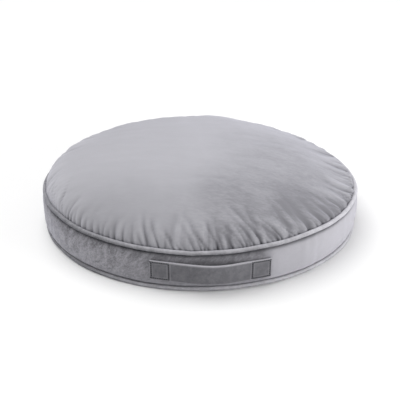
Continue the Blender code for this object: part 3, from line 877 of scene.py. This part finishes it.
def wrinkled(angles, rings):
    """Wrinkles of the loose panel between its gathers, from a cloth simulation of a coarser
    one, as heights for a grid of the crown. Only what changes round the cushion is kept."""
    few, steps = 420, 28
    inward = crown_line(steps)[2]
    known = round_again(few)
    angle = known[:, None]
    start = crown_grid(known, steps, gathers=0)
    normal = outward(start, True, -1)
    near_seam = np.exp(-inward / 0.07) * eased(inward / 0.01)
    seeds = 0.0005 * wave(angle, SEED + 81, 16, 40, 150) * near_seam
    ease = np.exp(-inward / 0.05)
    out = simulated(start + normal * seeds[..., None], ease)
    rise = ((out - start) * normal).sum(-1)
    waves = np.fft.rfft(rise, axis=0)
    waves[:SLOWEST_WAVE] = 0
    waves[QUICKEST_WAVE:] = 0
    left = 1 - eased((np.abs(bearing(angle, math.radians(212))) - 0.5) / 0.5)
    depth = 1.15 - 0.75 * left
    reach = 0.085 - 0.045 * left
    rise = np.fft.irfft(waves, few, axis=0) * depth * ridge(inward, reach)
    rise = np.clip(rise, WRINKLE_LOW, WRINKLE_HIGH)
    turned_rise = [np.interp(angles, known, column, period=math.tau) for column in rise.T]
    wanted = crown_line(rings)[2]
    return np.stack([np.interp(wanted, inward, row) for row in np.stack(turned_rise, 1)])


def tucked(points, seam, side):
    """Adds the allowance behind the piping to the seam end of a grid: side 1 on top of the
    piping, -1 below it."""
    angle = np.arctan2(points[:, 0, 1], points[:, 0, 0])
    tail = seam + side * TURNED_IN + seam_height(angle, seam)
    face = SEAM_FACE - VELVET / 2 + seam_reach(angle)
    turned_in = [placed(face - step, angle, tail)[:, None] for step in (ALLOWANCE, 0.003, 0.0006)]
    return np.concatenate(turned_in, 1)


def make_top_panel(finish):
    """The gathered crown, marked with its folds and with the painted shade of its creases."""
    angles, rings = crowded(1180), 40
    wrinkles = wrinkled(angles, rings)
    middle = crown_grid(angles, rings, wrinkles=wrinkles)
    tail = tucked(middle, TOP_SEAM, 1)
    inward = crown_line(rings)[2][None]
    # The fold mark paints shade in the gathers' valleys and a highlight on their ridges.
    fold = gathered(angles[:, None], inward) + wrinkles
    fold = np.clip(fold / 0.0016, -1.2, 0.8)
    fold = np.concatenate([np.repeat(fold[:, :1], 3, 1), fold[:, 1:]], 1)
    middle = np.concatenate([tail, middle[:, 1:]], 1)
    inward = np.concatenate([[[0, 0, 0]], inward[:, 1:]], 1)
    # Painted shade beside the piping and in the deepest valleys, carried by the deep mark.
    deep = 0.6 * ridge(inward, 0.0020) + 0.4 * np.clip(-fold - 0.3, 0, 1) * np.exp(-inward / 0.03)
    marks = {"fold": fold, "deep": np.clip(deep, 0, 1)}
    obj = cloth("crown", middle, VELVET, finish, pole=-1, slot="velvet", marks=marks)
    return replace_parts(obj, "top_panel")


def make_bottom_panel(finish):
    """Flat on the floor, with its edge rolled up to the seam."""
    segments = 480
    floor = VELVET / 2 + FLOOR_GAP
    tail = BOTTOM_SEAM - TURNED_IN
    fold = (tail - floor) / 2
    face = SEAM_FACE - VELVET / 2
    roll = arc((face - fold, floor + fold), fold, -90, 90, 9)
    flat = np.stack([face * np.linspace(0, 0.99, 30) ** 0.8, np.full(30, floor)], 1)
    line = np.concatenate([flat, roll, [(face - ALLOWANCE, tail)]])
    share = line[:, 0] / face
    angle = round_again(segments)[:, None]
    radius = line[:, 0] + seam_reach(angle) * share**8
    x, y = radius * np.cos(angle), radius * np.sin(angle)
    rumpled = 0.0012 * (0.5 + 0.5 * rolling(x, y, SEED + 31, 9, 0.12, 0.05))
    lifted = rumpled * ridge(share - 0.55, 0.30) * (line[:, 1] <= floor)
    middle = placed(radius, angle, line[:, 1] + np.clip(lifted, 0, None))
    obj = cloth("base", middle, VELVET, finish, pole=0, slot="velvet")
    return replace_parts(obj, "bottom_panel")


def seam_hug(seam, side):
    """(radius, height) of the band's cloth from its belly round the piping to its tail: side 1
    at the top seam, -1 at the bottom."""
    clear = PIPING + GAP + VELVET / 2
    around = arc((PIPING_CENTRE, seam), clear, -92 * side, -150 * side, 6)
    tail = seam - side * TURNED_IN
    return np.concatenate([around, [(SEAM_FACE - 0.001, tail), (SEAM_FACE - ALLOWANCE, tail)]])


def band_middle(angles, line):
    """A grid of the band's cloth: a line of (radius, height) carried round these angles."""
    angle = angles[:, None]
    radius, height = line[:, 0], line[:, 1]
    share = np.clip(np.abs(height - MIDDLE) / HALF_HEIGHT, 0, 1)
    reach = radius + seam_reach(angle) * share**3
    above = height > MIDDLE
    lift = np.where(above, seam_height(angle), seam_height(angle, BOTTOM_SEAM)) * share**3
    outside = eased((radius - (PIPING_CENTRE - PIPING)) / 0.004)
    return placed(reach + band_ripple(angle, height) * outside, angle, height + lift)


def crease_shade(middle, line):
    """How much painted shade each point of a band gets, 0 to 1: in a crease beside a piping, and
    less so as painted shadow round the strap."""
    seam = np.where(line[:, 1] > MIDDLE, TOP_SEAM, BOTTOM_SEAM)
    clear = np.hypot(line[:, 0] - PIPING_CENTRE, line[:, 1] - seam) - PIPING - GAP - VELVET / 2
    deep = ridge(np.clip(clear, 0, None), 0.0026)
    offset = bearing(np.arctan2(middle[..., 1], middle[..., 0]), -math.pi / 2)
    last = np.where(offset > 0, sewn_span(1)[1], sewn_span(-1)[1])
    beside = np.abs(offset) * BAND - last
    above = middle[..., 2] - strap_height(np.clip(offset, -STRAP_END, STRAP_END))
    outside = np.maximum(beside, np.abs(above) - STRAP_WIDTH / 2)
    shade = 0.55 * np.exp(-np.abs(outside) / 0.0011) * np.where(above > 0, 0.3, 1)
    return np.maximum(deep, shade)


def make_band(finish):
    """The long strip of the band, from one end of the zip panel round to the other."""
    heights = np.linspace(MIDDLE - 0.80 * HALF_HEIGHT, MIDDLE + 0.80 * HALF_HEIGHT, 24)
    belly = np.stack([band_reach(heights), heights], 1)
    line = np.concatenate([seam_hug(BOTTOM_SEAM, -1)[::-1], belly, seam_hug(TOP_SEAM, 1)])
    line = spaced(rounded(line, 2), 52)
    slack = GAP / 2 / BAND
    angles = np.linspace(REAR + ZIP_HALF + slack, REAR - ZIP_HALF - slack + math.tau, 760)
    middle = band_middle(angles, line)
    # The deep mark paints shade in the creases beside the pipings and a painted shadow round the
    # strap.
    marks = {"deep": crease_shade(middle, line)}
    obj = cloth("band", middle, VELVET, finish, closed=False, slot="velvet", marks=marks)
    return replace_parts(obj, "side_band")


def make_zip_bands(finish, thread):
    """The two rear strips, each folded under along the zip and topstitched."""
    slack = GAP / 2 / BAND
    angles = np.linspace(REAR - ZIP_HALF + slack, REAR + ZIP_HALF - slack, 380)
    for name, seam, side in (("upper", TOP_SEAM, 1), ("lower", BOTTOM_SEAM, -1)):
        edge = MIDDLE + side * ZIP_GAP
        heights = np.linspace(edge + side * 0.0012, MIDDLE + side * 0.80 * HALF_HEIGHT, 12)
        belly = np.stack([band_reach(heights), heights], 1)
        out = BAND - VELVET / 2
        back = out - VELVET - 0.0001
        fold = [(back, edge + side * 0.0060), (back, edge + side * 0.0014)]
        bend = [(back + 0.0002, edge + side * 0.0006), (out - 0.0002, edge + side * 0.0006)]
        line = np.concatenate([fold, bend, belly, seam_hug(seam, side)])
        line = spaced(rounded(line, 2), 46)
        if side < 0:
            line = line[::-1]
        middle = band_middle(angles, line)
        # The deep mark paints shade in the creases beside the pipings.
        marks = {"deep": crease_shade(middle, line)}
        strip = f"zip_strip_{name}"
        obj = cloth(strip, middle, VELVET, finish, closed=False, slot="velvet", marks=marks)
        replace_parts(obj, f"zip_band_{name}")
        row = edge + side * 0.0055
        sewn = np.arange(angles[0] + 0.004, angles[-1] - 0.004, STITCH_PITCH / 2 / BAND)
        reach = band_reach(row) + VELVET / 2 + band_ripple(sewn, row)
        places = placed(reach, sewn, row)
        sew = stitches(places, placed(1, sewn, 0))
        piece(f"zip_topstitch_{name}", *sew, thread, slot="thread")


def make_piping(name, seam, cloth_finish, cotton):
    """A twisted filler cord in a folded strip whose two tails lie in the seam."""
    angle = round_again(720)
    half = PIPING - SLEEVE / 2
    root = PIPING_CENTRE - PIPING
    tail = GAP / 2 + SLEEVE / 2
    above = [(root - ALLOWANCE, tail), (root - 0.0005, tail), (root + 0.0006, 0.0016)]
    wrap = arc((PIPING_CENTRE, 0), half, 125, -125, 17)
    below = [(radius, -height) for radius, height in above[::-1]]
    line = spaced(rounded(np.concatenate([above, wrap, below]), 1), 40)[::-1]
    swell = 0.00012 * wave(angle, SEED + 41, 8, 90, 240)
    swell = swell + 0.00010 * wave(angle, SEED + 42, 5, 20, 60)
    across = line[:, 0] + (seam_reach(angle) + swell)[:, None]
    up = line[:, 1] * (1 + swell / half)[:, None] + seam + seam_height(angle, seam)[:, None]
    up = np.maximum(up, SLEEVE / 2 + FLOOR_GAP)
    middle = placed(across, angle[:, None], up)
    marks = {"lit": np.broadcast_to(np.clip(line[:, 1] / half, -1, 1), middle.shape[:2])}
    obj = cloth(f"{name}_sleeve_sewn", middle, SLEEVE, cloth_finish, slot="velvet", marks=marks)
    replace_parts(obj, f"{name}_sleeve")

    turn = round_again(14)
    lay = 3 * (turn[None] - angle[:, None] * 60)
    radius = (CORD - 0.0001) * (0.90 + 0.10 * np.abs(np.cos(lay)))
    across = PIPING_CENTRE + seam_reach(angle)[:, None] + radius * np.cos(turn)
    up = seam + seam_height(angle, seam)[:, None] + radius * np.sin(turn)
    rope = placed(across, angle[:, None], up)
    obj = turned(f"{name}_rope", rope, cotton, poles=False, slot="filler_cord", sharp=180)
    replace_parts(obj, f"{name}_cord")


# ---- inner pad ---------------------------------------------------------------------------


PAD_WAIST = SEAM_FACE - ALLOWANCE - 0.0012            # radius of the pad inside the seams
PAD_SIDE = BAND - VELVET - 0.0062                     # radius of its side, half way up
SEAM_STACK = 0.0042        # from a seam to clear of the cloth turned in above or below it
PAD_EASE = 0.0020          # between the crown and the pad
DISC = math.pi * PAD_WAIST**2


def sunk_crown(segments, rings, depth):
    """The crown's shape sunk by this much, with room for the gathers, from above the seam."""
    shape = crown_grid(round_again(segments), rings, gathers=0)
    inward = crown_line(rings)[2]
    room = depth + 0.0055 * ridge(inward, 0.10)
    inside = shape - outward(shape, True, -1) * room[None, :, None]
    return inside[:, inward > 0.008]


def pad_side(inset):
    """(radius, height) up the pad's side, from its lower waist to its upper one."""
    heights = np.linspace(BOTTOM_SEAM + SEAM_STACK + 0.003, TOP_SEAM - SEAM_STACK - 0.003, 18)
    share = np.abs((heights - MIDDLE) / HALF_HEIGHT)
    bulge = PAD_SIDE - (PAD_SIDE - PAD_WAIST) * 0.8 * share**4 - inset
    waist = PAD_WAIST - inset
    low, high = BOTTOM_SEAM + SEAM_STACK, TOP_SEAM - SEAM_STACK
    line = np.concatenate([[(waist, low)], np.stack([bulge, heights], 1), [(waist, high)]])
    return spaced(rounded(line, 2), 26)


def make_liner(finish):
    """The cotton cover of the pad, in three pieces that meet at the seams."""
    segments = 360
    angle = round_again(segments)[:, None]
    waist = PAD_WAIST + seam_reach(angle)
    edge = placed(waist, angle, TOP_SEAM + np.array([GAP, SEAM_STACK]))
    top = np.concatenate([edge, sunk_crown(segments, 36, PAD_EASE)], 1)
    upper = cloth("liner_crown", top, LINER, finish, pole=-1, slot="liner")
    2 * PAD_WAIST
    2 * PAD_WAIST
    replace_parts(upper, "liner_top")

    ends = [(PAD_WAIST, BOTTOM_SEAM + GAP)], [(PAD_WAIST, TOP_SEAM - GAP)]
    line = np.concatenate([ends[0], pad_side(0), ends[1]])
    slack = seam_reach(angle) + 0.0003 * wave(angle, SEED + 51, 6, 20, 60)
    side = placed(line[:, 0] + slack, angle, line[:, 1])
    belt = cloth("liner_side", side, LINER, finish, slot="liner")
    TOP_SEAM - BOTTOM_SEAM
    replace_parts(belt, "liner_band")

    low = VELVET + GAP + LINER / 2 + 0.0002
    flat = np.stack([(PAD_WAIST - 0.005) * np.linspace(0, 1, 20), np.full(20, low)], 1)
    rim = [(PAD_WAIST - 0.0015, low + 0.0008), (PAD_WAIST, BOTTOM_SEAM - GAP)]
    line = np.concatenate([flat, rim])
    reach = line[:, 0] + seam_reach(angle) * (line[:, 0] / PAD_WAIST) ** 8
    under = placed(reach, angle, line[:, 1])
    base = cloth("liner_base", under, LINER, finish, pole=0, slot="liner")
    2 * PAD_WAIST
    2 * PAD_WAIST
    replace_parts(base, "liner_bottom")


def stuffed(name, sections, finish, seed, size, node, slot, poles=True):
    """A turned piece of the filling with a lumpy skin."""
    flat = sections.reshape(-1, 3)
    lumps = rolling(flat[:, 0], flat[:, 1] + 1.7 * flat[:, 2], seed, 12, 0.05, 0.018)
    sink = (size * (0.5 + 0.5 * np.clip(lumps, -1, 1))).reshape(sections.shape[:2])
    solid = sections - outward(sections, True) * sink[..., None]
    if poles:
        solid[:, 0] = sections[:, 0]
        solid[:, -1] = sections[:, -1]
    obj = turned(name, solid, finish, poles=poles, slot=slot)
    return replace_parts(obj, node)


def make_foam(foam, angle):
    """The foam disc, with its edges rounded over."""
    corner = 0.006
    out = FOAM - 0.0006
    low, high = FOAM_LOW + 0.0003, FOAM_HIGH - 0.0003
    across = np.linspace(0, out - corner, 16)
    base = np.stack([across, np.full(16, low)], 1)
    turn_low = arc((out - corner, low + corner), corner, -90, 0, 7)[1:]
    wall = np.stack([np.full(6, out), np.linspace(low + corner, high - corner, 8)[1:-1]], 1)
    turn_high = arc((out - corner, high - corner), corner, 0, 90, 7)
    over = np.stack([across[::-1][1:], np.full(15, high)], 1)
    line = np.concatenate([base, turn_low, wall, turn_high, over])
    disc = placed(line[:, 0], angle, line[:, 1])
    stuffed("foam_disc", disc, foam, SEED + 71, 0.0002, "foam_core", "foam")


def make_wadding(wadding, angle):
    """Fibre over, round and under the foam."""
    space = LINER / 2 + GAP + 0.0002
    top = sunk_crown(len(angle), 36, PAD_EASE + space)
    floor = FOAM_HIGH + GAP
    waist = PAD_WAIST - space - 0.0008
    under = placed(np.linspace(0, waist, 16), angle, floor)
    neck = placed(waist, angle, np.array([TOP_SEAM, TOP_SEAM + SEAM_STACK]))
    upper = np.concatenate([under, neck, top], 1)
    stuffed("wadding_crown", upper, wadding, SEED + 72, 0.0006, "fibre_top", "wadding")

    side = pad_side(space + 0.0008)
    hole = FOAM + GAP
    walls = np.linspace(side[-1, 1], side[0, 1], 10)
    ring = np.concatenate([side, np.stack([np.full(10, hole), walls], 1)])
    ring = placed(ring[:, 0], angle, ring[:, 1])
    lumps = SEED + 73
    stuffed("wadding_ring", ring, wadding, lumps, 0.0003, "fibre_edge", "wadding", poles=False)

    low = VELVET + GAP + LINER + 0.0005
    high = FOAM_LOW - GAP
    rim = PAD_WAIST - 0.008
    across = np.linspace(0, rim, 16)
    edge = arc((rim, (low + high) / 2), (high - low) / 2, -90, 90, 7)[1:-1]
    base = np.stack([across, np.full(16, low)], 1)
    over = np.stack([across[::-1], np.full(16, high)], 1)
    line = np.concatenate([base, edge, over])
    lower = placed(line[:, 0], angle, line[:, 1])
    stuffed("wadding_base", lower, wadding, SEED + 74, 0.0002, "fibre_bottom", "wadding")


# ---- handle ------------------------------------------------------------------------------


def strap_plan(angle):
    """Radius of the strap's middle: on the band where it is sewn, and bowed away between."""
    sewn = BAND + GAP + STRAP / 2
    bow = STRAP_REACH - STRAP / 2 - sewn
    share = np.clip(np.abs(angle) / STRAP_SPAN, 0, 1)
    return sewn + bow * np.cos(math.pi / 2 * share) ** 2


def strap_section(across=40, corner=0.0013):
    """(outward, up) round the strap: two flat faces and two rounded edges."""
    half = STRAP_WIDTH / 2 - corner
    thick = STRAP / 2
    front = np.stack([np.full(across, thick), np.linspace(-half, half, across)], 1)
    bend = np.linspace(0, math.pi, 11)[1:-1]
    top = np.stack([thick * np.cos(bend), half + corner * np.sin(bend)], 1)
    return np.concatenate([front, top, front[::-1] * (-1, 1), -top])


def strap_height(offset):
    """Height of the strap's middle line at an angle from the front, left of it negative."""
    free = np.cos(math.pi / 2 * np.clip(np.abs(offset) / STRAP_SPAN, 0, 1)) ** 2
    wander = 0.0004 * wave(offset * 2, SEED + 62, 4, 3, 9)
    sewn = STRAP_MIDDLE + STRAP_LIFT - STRAP_TILT * offset / STRAP_END
    return sewn + (STRAP_RISE + wander) * free


def blended(obj):
    """Bakes the piece's place into its mesh."""
    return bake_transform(obj)


def sewn_span(side):
    """Where a sewn end begins and stops along the band. The right one was sewn down longer."""
    if side > 0:
        return STRAP_SPAN * BAND - SEWN_LONGER[1], STRAP_END * BAND
    return STRAP_SPAN * BAND - SEWN_LONGER[0], STRAP_END * BAND + LEFT_OUTWARD


def strap_surface(side, turns):
    """(points, marks) of the strap's outside: rows along it, columns round it."""
    section = strap_section()
    out, up = section[:, 0][None], section[:, 1][None]
    along = turns * BAND
    half = STRAP_WIDTH / 2
    edge = half - np.abs(up)
    first, last = sewn_span(side)
    from_end = (last - along)[:, None]
    from_span = (along - first)[:, None]
    beside = 1.0 * (from_span < BOX_MARGIN - 0.001)
    beyond = 1.0 * (edge < BOX_MARGIN - 0.0005)
    nearest = np.abs(edge - BOX_MARGIN) + beside
    nearest = np.minimum(nearest, np.abs(from_end - BOX_MARGIN) + beyond)
    nearest = np.minimum(nearest, np.abs(from_span - BOX_MARGIN) + beyond)
    front = eased((out / (STRAP / 2) + 0.6) / 1.2)
    groove = ridge(nearest, 0.0011) * front
    boxed = eased((from_span + 0.001) / 0.002)
    hem = ridge(edge - 0.0012, 0.0012) * (1 - boxed)
    ruck = 0.0002 * wave(side * turns * 3.0, SEED + 61, 7, 4, 18)[:, None] * (1 - boxed)
    rise = (0.0004 * hem + ruck + 0.0002 * boxed - 0.0008 * groove) * front
    close = 1 - 0.5 * np.exp(-np.clip(from_end, 0, 1) / 0.0008)
    radius = strap_plan(turns)[:, None] + out * close + rise
    height = strap_height(side * turns)[:, None] + up
    # Painted highlights: along the strap's upper edge and less along its lower one, round the sewn
    # end's edges, and just inside its stitched square.
    lit = ridge(half - up, 0.0022) + 0.35 * ridge(half + up, 0.0014)
    rim = np.minimum(np.minimum(edge, from_end), from_span + 0.0004)
    lit = np.maximum(lit, 0.62 * ridge(rim - 0.0002, 0.0011) * boxed)
    within = np.minimum(np.minimum(edge, from_end), from_span) - BOX_MARGIN
    lit = np.maximum(lit, 0.22 * ridge(within - 0.0021, 0.0008) * front)
    marks = {"lit": np.clip(np.broadcast_to(lit, groove.shape), 0, 1), "groove": groove}
    return placed(radius, FRONT + side * turns[:, None], height), marks


def facing(faces, side):
    """Faces turned over for the right half, whose rows run the other way round the cushion."""
    return [face[::-1] for face in faces] if side > 0 else faces


def strap_inside(side, turns, half, thick):
    """Points of a narrower ring inside the strap, for its hollow and its webbing."""
    section = strap_section() * (2 * thick / STRAP, 2 * half / STRAP_WIDTH)
    radius = strap_plan(turns)[:, None] + section[:, 0]
    height = strap_height(side * turns)[:, None] + section[:, 1]
    return placed(radius, FRONT + side * turns[:, None], height)


def make_strap(finish, webbing, thread):
    """The strap in two halves, each sewn down at its outer end and free to its middle, and
    hollow round a strip of webbing."""
    half = STRAP_WIDTH / 2
    for name, side in (("left", -1), ("right", 1)):
        first, last = sewn_span(side)
        free = np.linspace(0, first / BAND - 0.004, 62)
        turns = np.concatenate([free, np.linspace(free[-1], last / BAND, 64)[1:]])
        outside, marks = strap_surface(side, turns)
        hollow = strap_inside(side, free[:-1], half - 0.0024, 0.00085)
        outer = np.arange(outside[..., 0].size).reshape(outside.shape[:2])
        inner = np.arange(hollow[..., 0].size).reshape(hollow.shape[:2]) + outer.size
        faces = grid_faces(outer, False, True) + [outer[-1].tolist()]
        faces += [face[::-1] for face in grid_faces(inner, False, True)]
        faces += [inner[-1][::-1].tolist()]
        faces += grid_faces(np.stack([inner[0], outer[0]]), False, True)
        faces = facing(faces, side)
        points = np.concatenate([outside.reshape(-1, 3), hollow.reshape(-1, 3)])
        plain = np.zeros(inner.size)
        marks = {mark: np.concatenate([values.ravel(), plain]) for mark, values in marks.items()}
        obj = piece(f"strap_{name}", points, faces, finish, body=None, slot="velvet", marks=marks)
        blended(obj)
        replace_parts(obj, f"handle_end_{name}", "handle_strap")

        core = strap_inside(side, free[:-2], half - 0.0040, 0.00055)
        index = np.arange(core[..., 0].size).reshape(core.shape[:2])
        faces = grid_faces(index, False, True) + [index[0][::-1].tolist(), index[-1].tolist()]
        faces = facing(faces, side)
        obj = piece(f"strap_webbing_{name}", core, faces, webbing, body=None, slot="webbing")
        blended(obj)
        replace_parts(obj, "handle_core")
        make_box_stitch(name, side, thread)


def make_box_stitch(name, side, thread):
    """The square of stitches that holds one end of the strap down."""
    first, last = sewn_span(side)
    first += BOX_MARGIN
    last -= BOX_MARGIN
    half = STRAP_WIDTH / 2 - BOX_MARGIN
    corners = np.array([(first, -half), (last, -half), (last, half), (first, half)])
    made = []
    for a, b in zip(corners, np.roll(corners, -1, 0)):
        count = 2 * round(np.linalg.norm(b - a) / STITCH_PITCH)
        line = a + (b - a) * np.linspace(0.02, 0.98, count)[:, None]
        offset = side * line[:, 0] / BAND
        reach = BAND + GAP + STRAP - 0.0005
        places = placed(reach, FRONT + offset, strap_height(offset) + line[:, 1])
        made.append(stitches(places, placed(1, FRONT + offset, 0)))
    obj = piece(f"box_stitch_{name}", *joined(made), thread, slot="thread")
    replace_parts(obj, f"handle_stitching_{name}")


# ---- zip ---------------------------------------------------------------------------------


def make_zip(tape_finish, nylon):
    """Both tapes and both coils. The slider's post runs in the space between the coils."""
    angles = np.linspace(REAR - ZIP_HALF + 0.001, REAR + ZIP_HALF - 0.001, 300)
    tape_out = COIL_FRONT - COIL_DEPTH - GAP
    for name, side in (("upper", 1), ("lower", -1)):
        heights = MIDDLE + side * np.linspace(COIL_INNER, TAPE_OUTER, 14)
        drop = band_reach(MIDDLE) - band_reach(heights)
        line = np.stack([tape_out - TAPE / 2 - drop, heights], 1)
        if side < 0:
            line = line[::-1]
        middle = placed(line[:, 0], angles[:, None], line[:, 1])
        tape = f"zip_tape_woven_{name}"
        obj = cloth(tape, middle, TAPE, tape_finish, closed=False, slot="zip_tape")
        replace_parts(obj, f"zip_tape_{name}")
        make_coil(name, side, nylon)


def make_coil(name, side, nylon):
    """One flattened helix of nylon along its tape's edge, half a turn out of step with the
    other one."""
    wire = 0.00036
    half = math.asin(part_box(f"zip_coil_{name}")[1].x / COIL_FRONT)
    turns = int(2 * half * COIL_FRONT / COIL_PITCH)
    steps = 10
    turn = np.arange(turns * steps + 1) / steps
    lean = turn + (0.5 if side < 0 else 0)
    angle = REAR - half + 0.001 + turn * (2 * half - 0.002) / turns
    centre = COIL_FRONT - COIL_DEPTH / 2
    middle = (COIL_INNER + COIL_OUTER) / 2
    width = (COIL_OUTER - COIL_INNER) / 2 - wire
    reach = centre + (COIL_DEPTH / 2 - wire) * np.cos(math.tau * lean)
    height = MIDDLE + side * (middle + width * np.sin(math.tau * lean))
    line = placed(reach, angle, height)
    upright = placed(1, angle + math.pi / 2, 0)
    wound = rod(line, wire, 6, upright)
    obj = piece(f"zip_coil_wound_{name}", *wound, nylon, slot="zip_coil", sharp=180)
    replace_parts(obj, f"zip_coil_{name}")


def softened(node, name, width, finish, body="cushion"):
    """A copy of a CAD node of the zip's metal with its edges rounded over."""
    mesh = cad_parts[node].data.copy()
    mesh.materials.clear()
    mesh.materials.append(finish)
    obj = new_object(name, mesh)
    weld = obj.modifiers.new("weld", "WELD")
    weld.merge_threshold = 0.00002
    bevel = obj.modifiers.new("bevel", "BEVEL")
    bevel.width = width
    bevel.segments = 3
    bevel.limit_method = "ANGLE"
    bevel.angle_limit = math.radians(35)
    bevel.harden_normals = True
    mesh.shade_smooth()
    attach(obj, body)
    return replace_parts(obj, node)


# ---- stage -------------------------------------------------------------------------------


def make_floor():
    """A wide pale floor."""
    finish = Finish("pale_floor", Roughness=0.9)
    grain = finish.noise(finish.place, 3.0, 2.0)
    finish.set("Base Color", finish.mixed(grain, (0.90, 0.90, 0.90), (0.92, 0.92, 0.92)))
    mesh = bpy.data.meshes.new("floor")
    corners = [(30 * x, 30 * y, 0) for x, y in ((-1, -1), (1, -1), (1, 1), (-1, 1))]
    mesh.from_pydata(corners, [], [(0, 1, 2, 3)])
    mesh.materials.append(finish.material)
    new_object("floor", mesh)


def aimed(obj, way):
    """Turns a light or the camera to look along a way."""
    obj.rotation_euler = Vector(way).to_track_quat("-Z", "Y").to_euler()


def make_studio():
    """Soft light from all round, and a white backdrop behind it."""
    world = bpy.data.worlds.new("studio")
    world.use_nodes = True
    tree = world.node_tree
    lighting = tree.nodes["Background"]
    lighting.inputs["Color"].default_value = (1, 1, 1, 1)
    lighting.inputs["Strength"].default_value = 0.42
    backdrop = tree.nodes.new("ShaderNodeBackground")
    backdrop.inputs["Color"].default_value = (1, 1, 1, 1)
    backdrop.inputs["Strength"].default_value = 1.0
    rays = tree.nodes.new("ShaderNodeLightPath")
    either = tree.nodes.new("ShaderNodeMixShader")
    tree.links.new(rays.outputs["Is Camera Ray"], either.inputs[0])
    tree.links.new(lighting.outputs[0], either.inputs[1])
    tree.links.new(backdrop.outputs[0], either.inputs[2])
    tree.links.new(either.outputs[0], tree.nodes["World Output"].inputs[0])
    bpy.context.scene.world = world
    bpy.context.scene.view_settings.view_transform = "Standard"


def make_lights():
    """A wide soft light from above, behind and to the left, and a lamp low on the right."""
    overhead = bpy.data.lights.new("overhead", "SUN")
    overhead.energy = 2.5
    overhead.angle = math.radians(75)
    aimed(new_object("overhead", overhead), (0.42, -0.30, -0.86))

    lamp = bpy.data.lights.new("right_side", "AREA")
    lamp.shape = "RECTANGLE"
    lamp.size = 1.2
    lamp.size_y = 0.7
    lamp.energy = 23
    right_side = new_object("right_side", lamp)
    right_side.location = (1.7, -1.0, 0.45)
    aimed(right_side, Vector((0.1, 0, 0.05)) - Vector(right_side.location))


def make_camera():
    """Above the front edge, turned a little to the left."""
    lens = bpy.data.cameras.new("camera")
    lens.sensor_width = 36
    lens.lens = 58.5
    camera = new_object("camera", lens)
    azimuth, elevation, distance = math.radians(-3.5), math.radians(25.53), 1.284
    target = Vector((0, 0, 0.018))
    level = Vector((math.sin(azimuth), -math.cos(azimuth), 0)) * math.cos(elevation)
    away = level + Vector((0, 0, math.sin(elevation)))
    camera.location = target + away * distance
    aimed(camera, -away)
    bpy.context.scene.camera = camera


def make_cover(thread):
    """The velvet pieces: crown, base, band, zip strips and pipings."""
    band = band_velvet()
    piping = piping_velvet()
    cotton = cord_finish()
    make_top_panel(crown_velvet())
    make_bottom_panel(base_velvet())
    make_band(band)
    make_zip_bands(band, thread)
    make_piping("piping_top", TOP_SEAM, piping, cotton)
    make_piping("piping_bottom", BOTTOM_SEAM, piping, cotton)


def make_zip_metal():
    """Slider, pull and stops."""
    nickel = nickel_finish()
    softened("zip_slider", "slider_cast", 0.00022, nickel, "zip_slider")
    softened("zip_pull", "pull_cast", 0.00025, nickel, "zip_pull")
    softened("zip_stop_closed", "stop_closed_crimped", 0.0003, nickel)
    softened("zip_stop_open", "stop_open_crimped", 0.0003, nickel)


def make_pad():
    """The inner pad: its liner, its foam and its wadding."""
    make_liner(woven("liner_cotton", (0.66, 0.65, 0.61), (0.84, 0.83, 0.80), 6000.0))
    angle = round_again(240)[:, None]
    make_foam(foam_finish(), angle)
    make_wadding(wadding_finish(), angle)


def main():
    thread = thread_finish()
    webbing = woven("webbing", (0.16, 0.16, 0.17), (0.28, 0.28, 0.30), 2400.0)
    tape = woven("zip_tape_weave", (0.18, 0.18, 0.195), (0.28, 0.28, 0.30), 7000.0)
    make_cover(thread)
    make_strap(strap_velvet(), webbing, thread)
    make_zip(tape, nylon_finish())
    make_zip_metal()
    make_pad()
    make_floor()
    make_studio()
    make_lights()
    make_camera()


main()
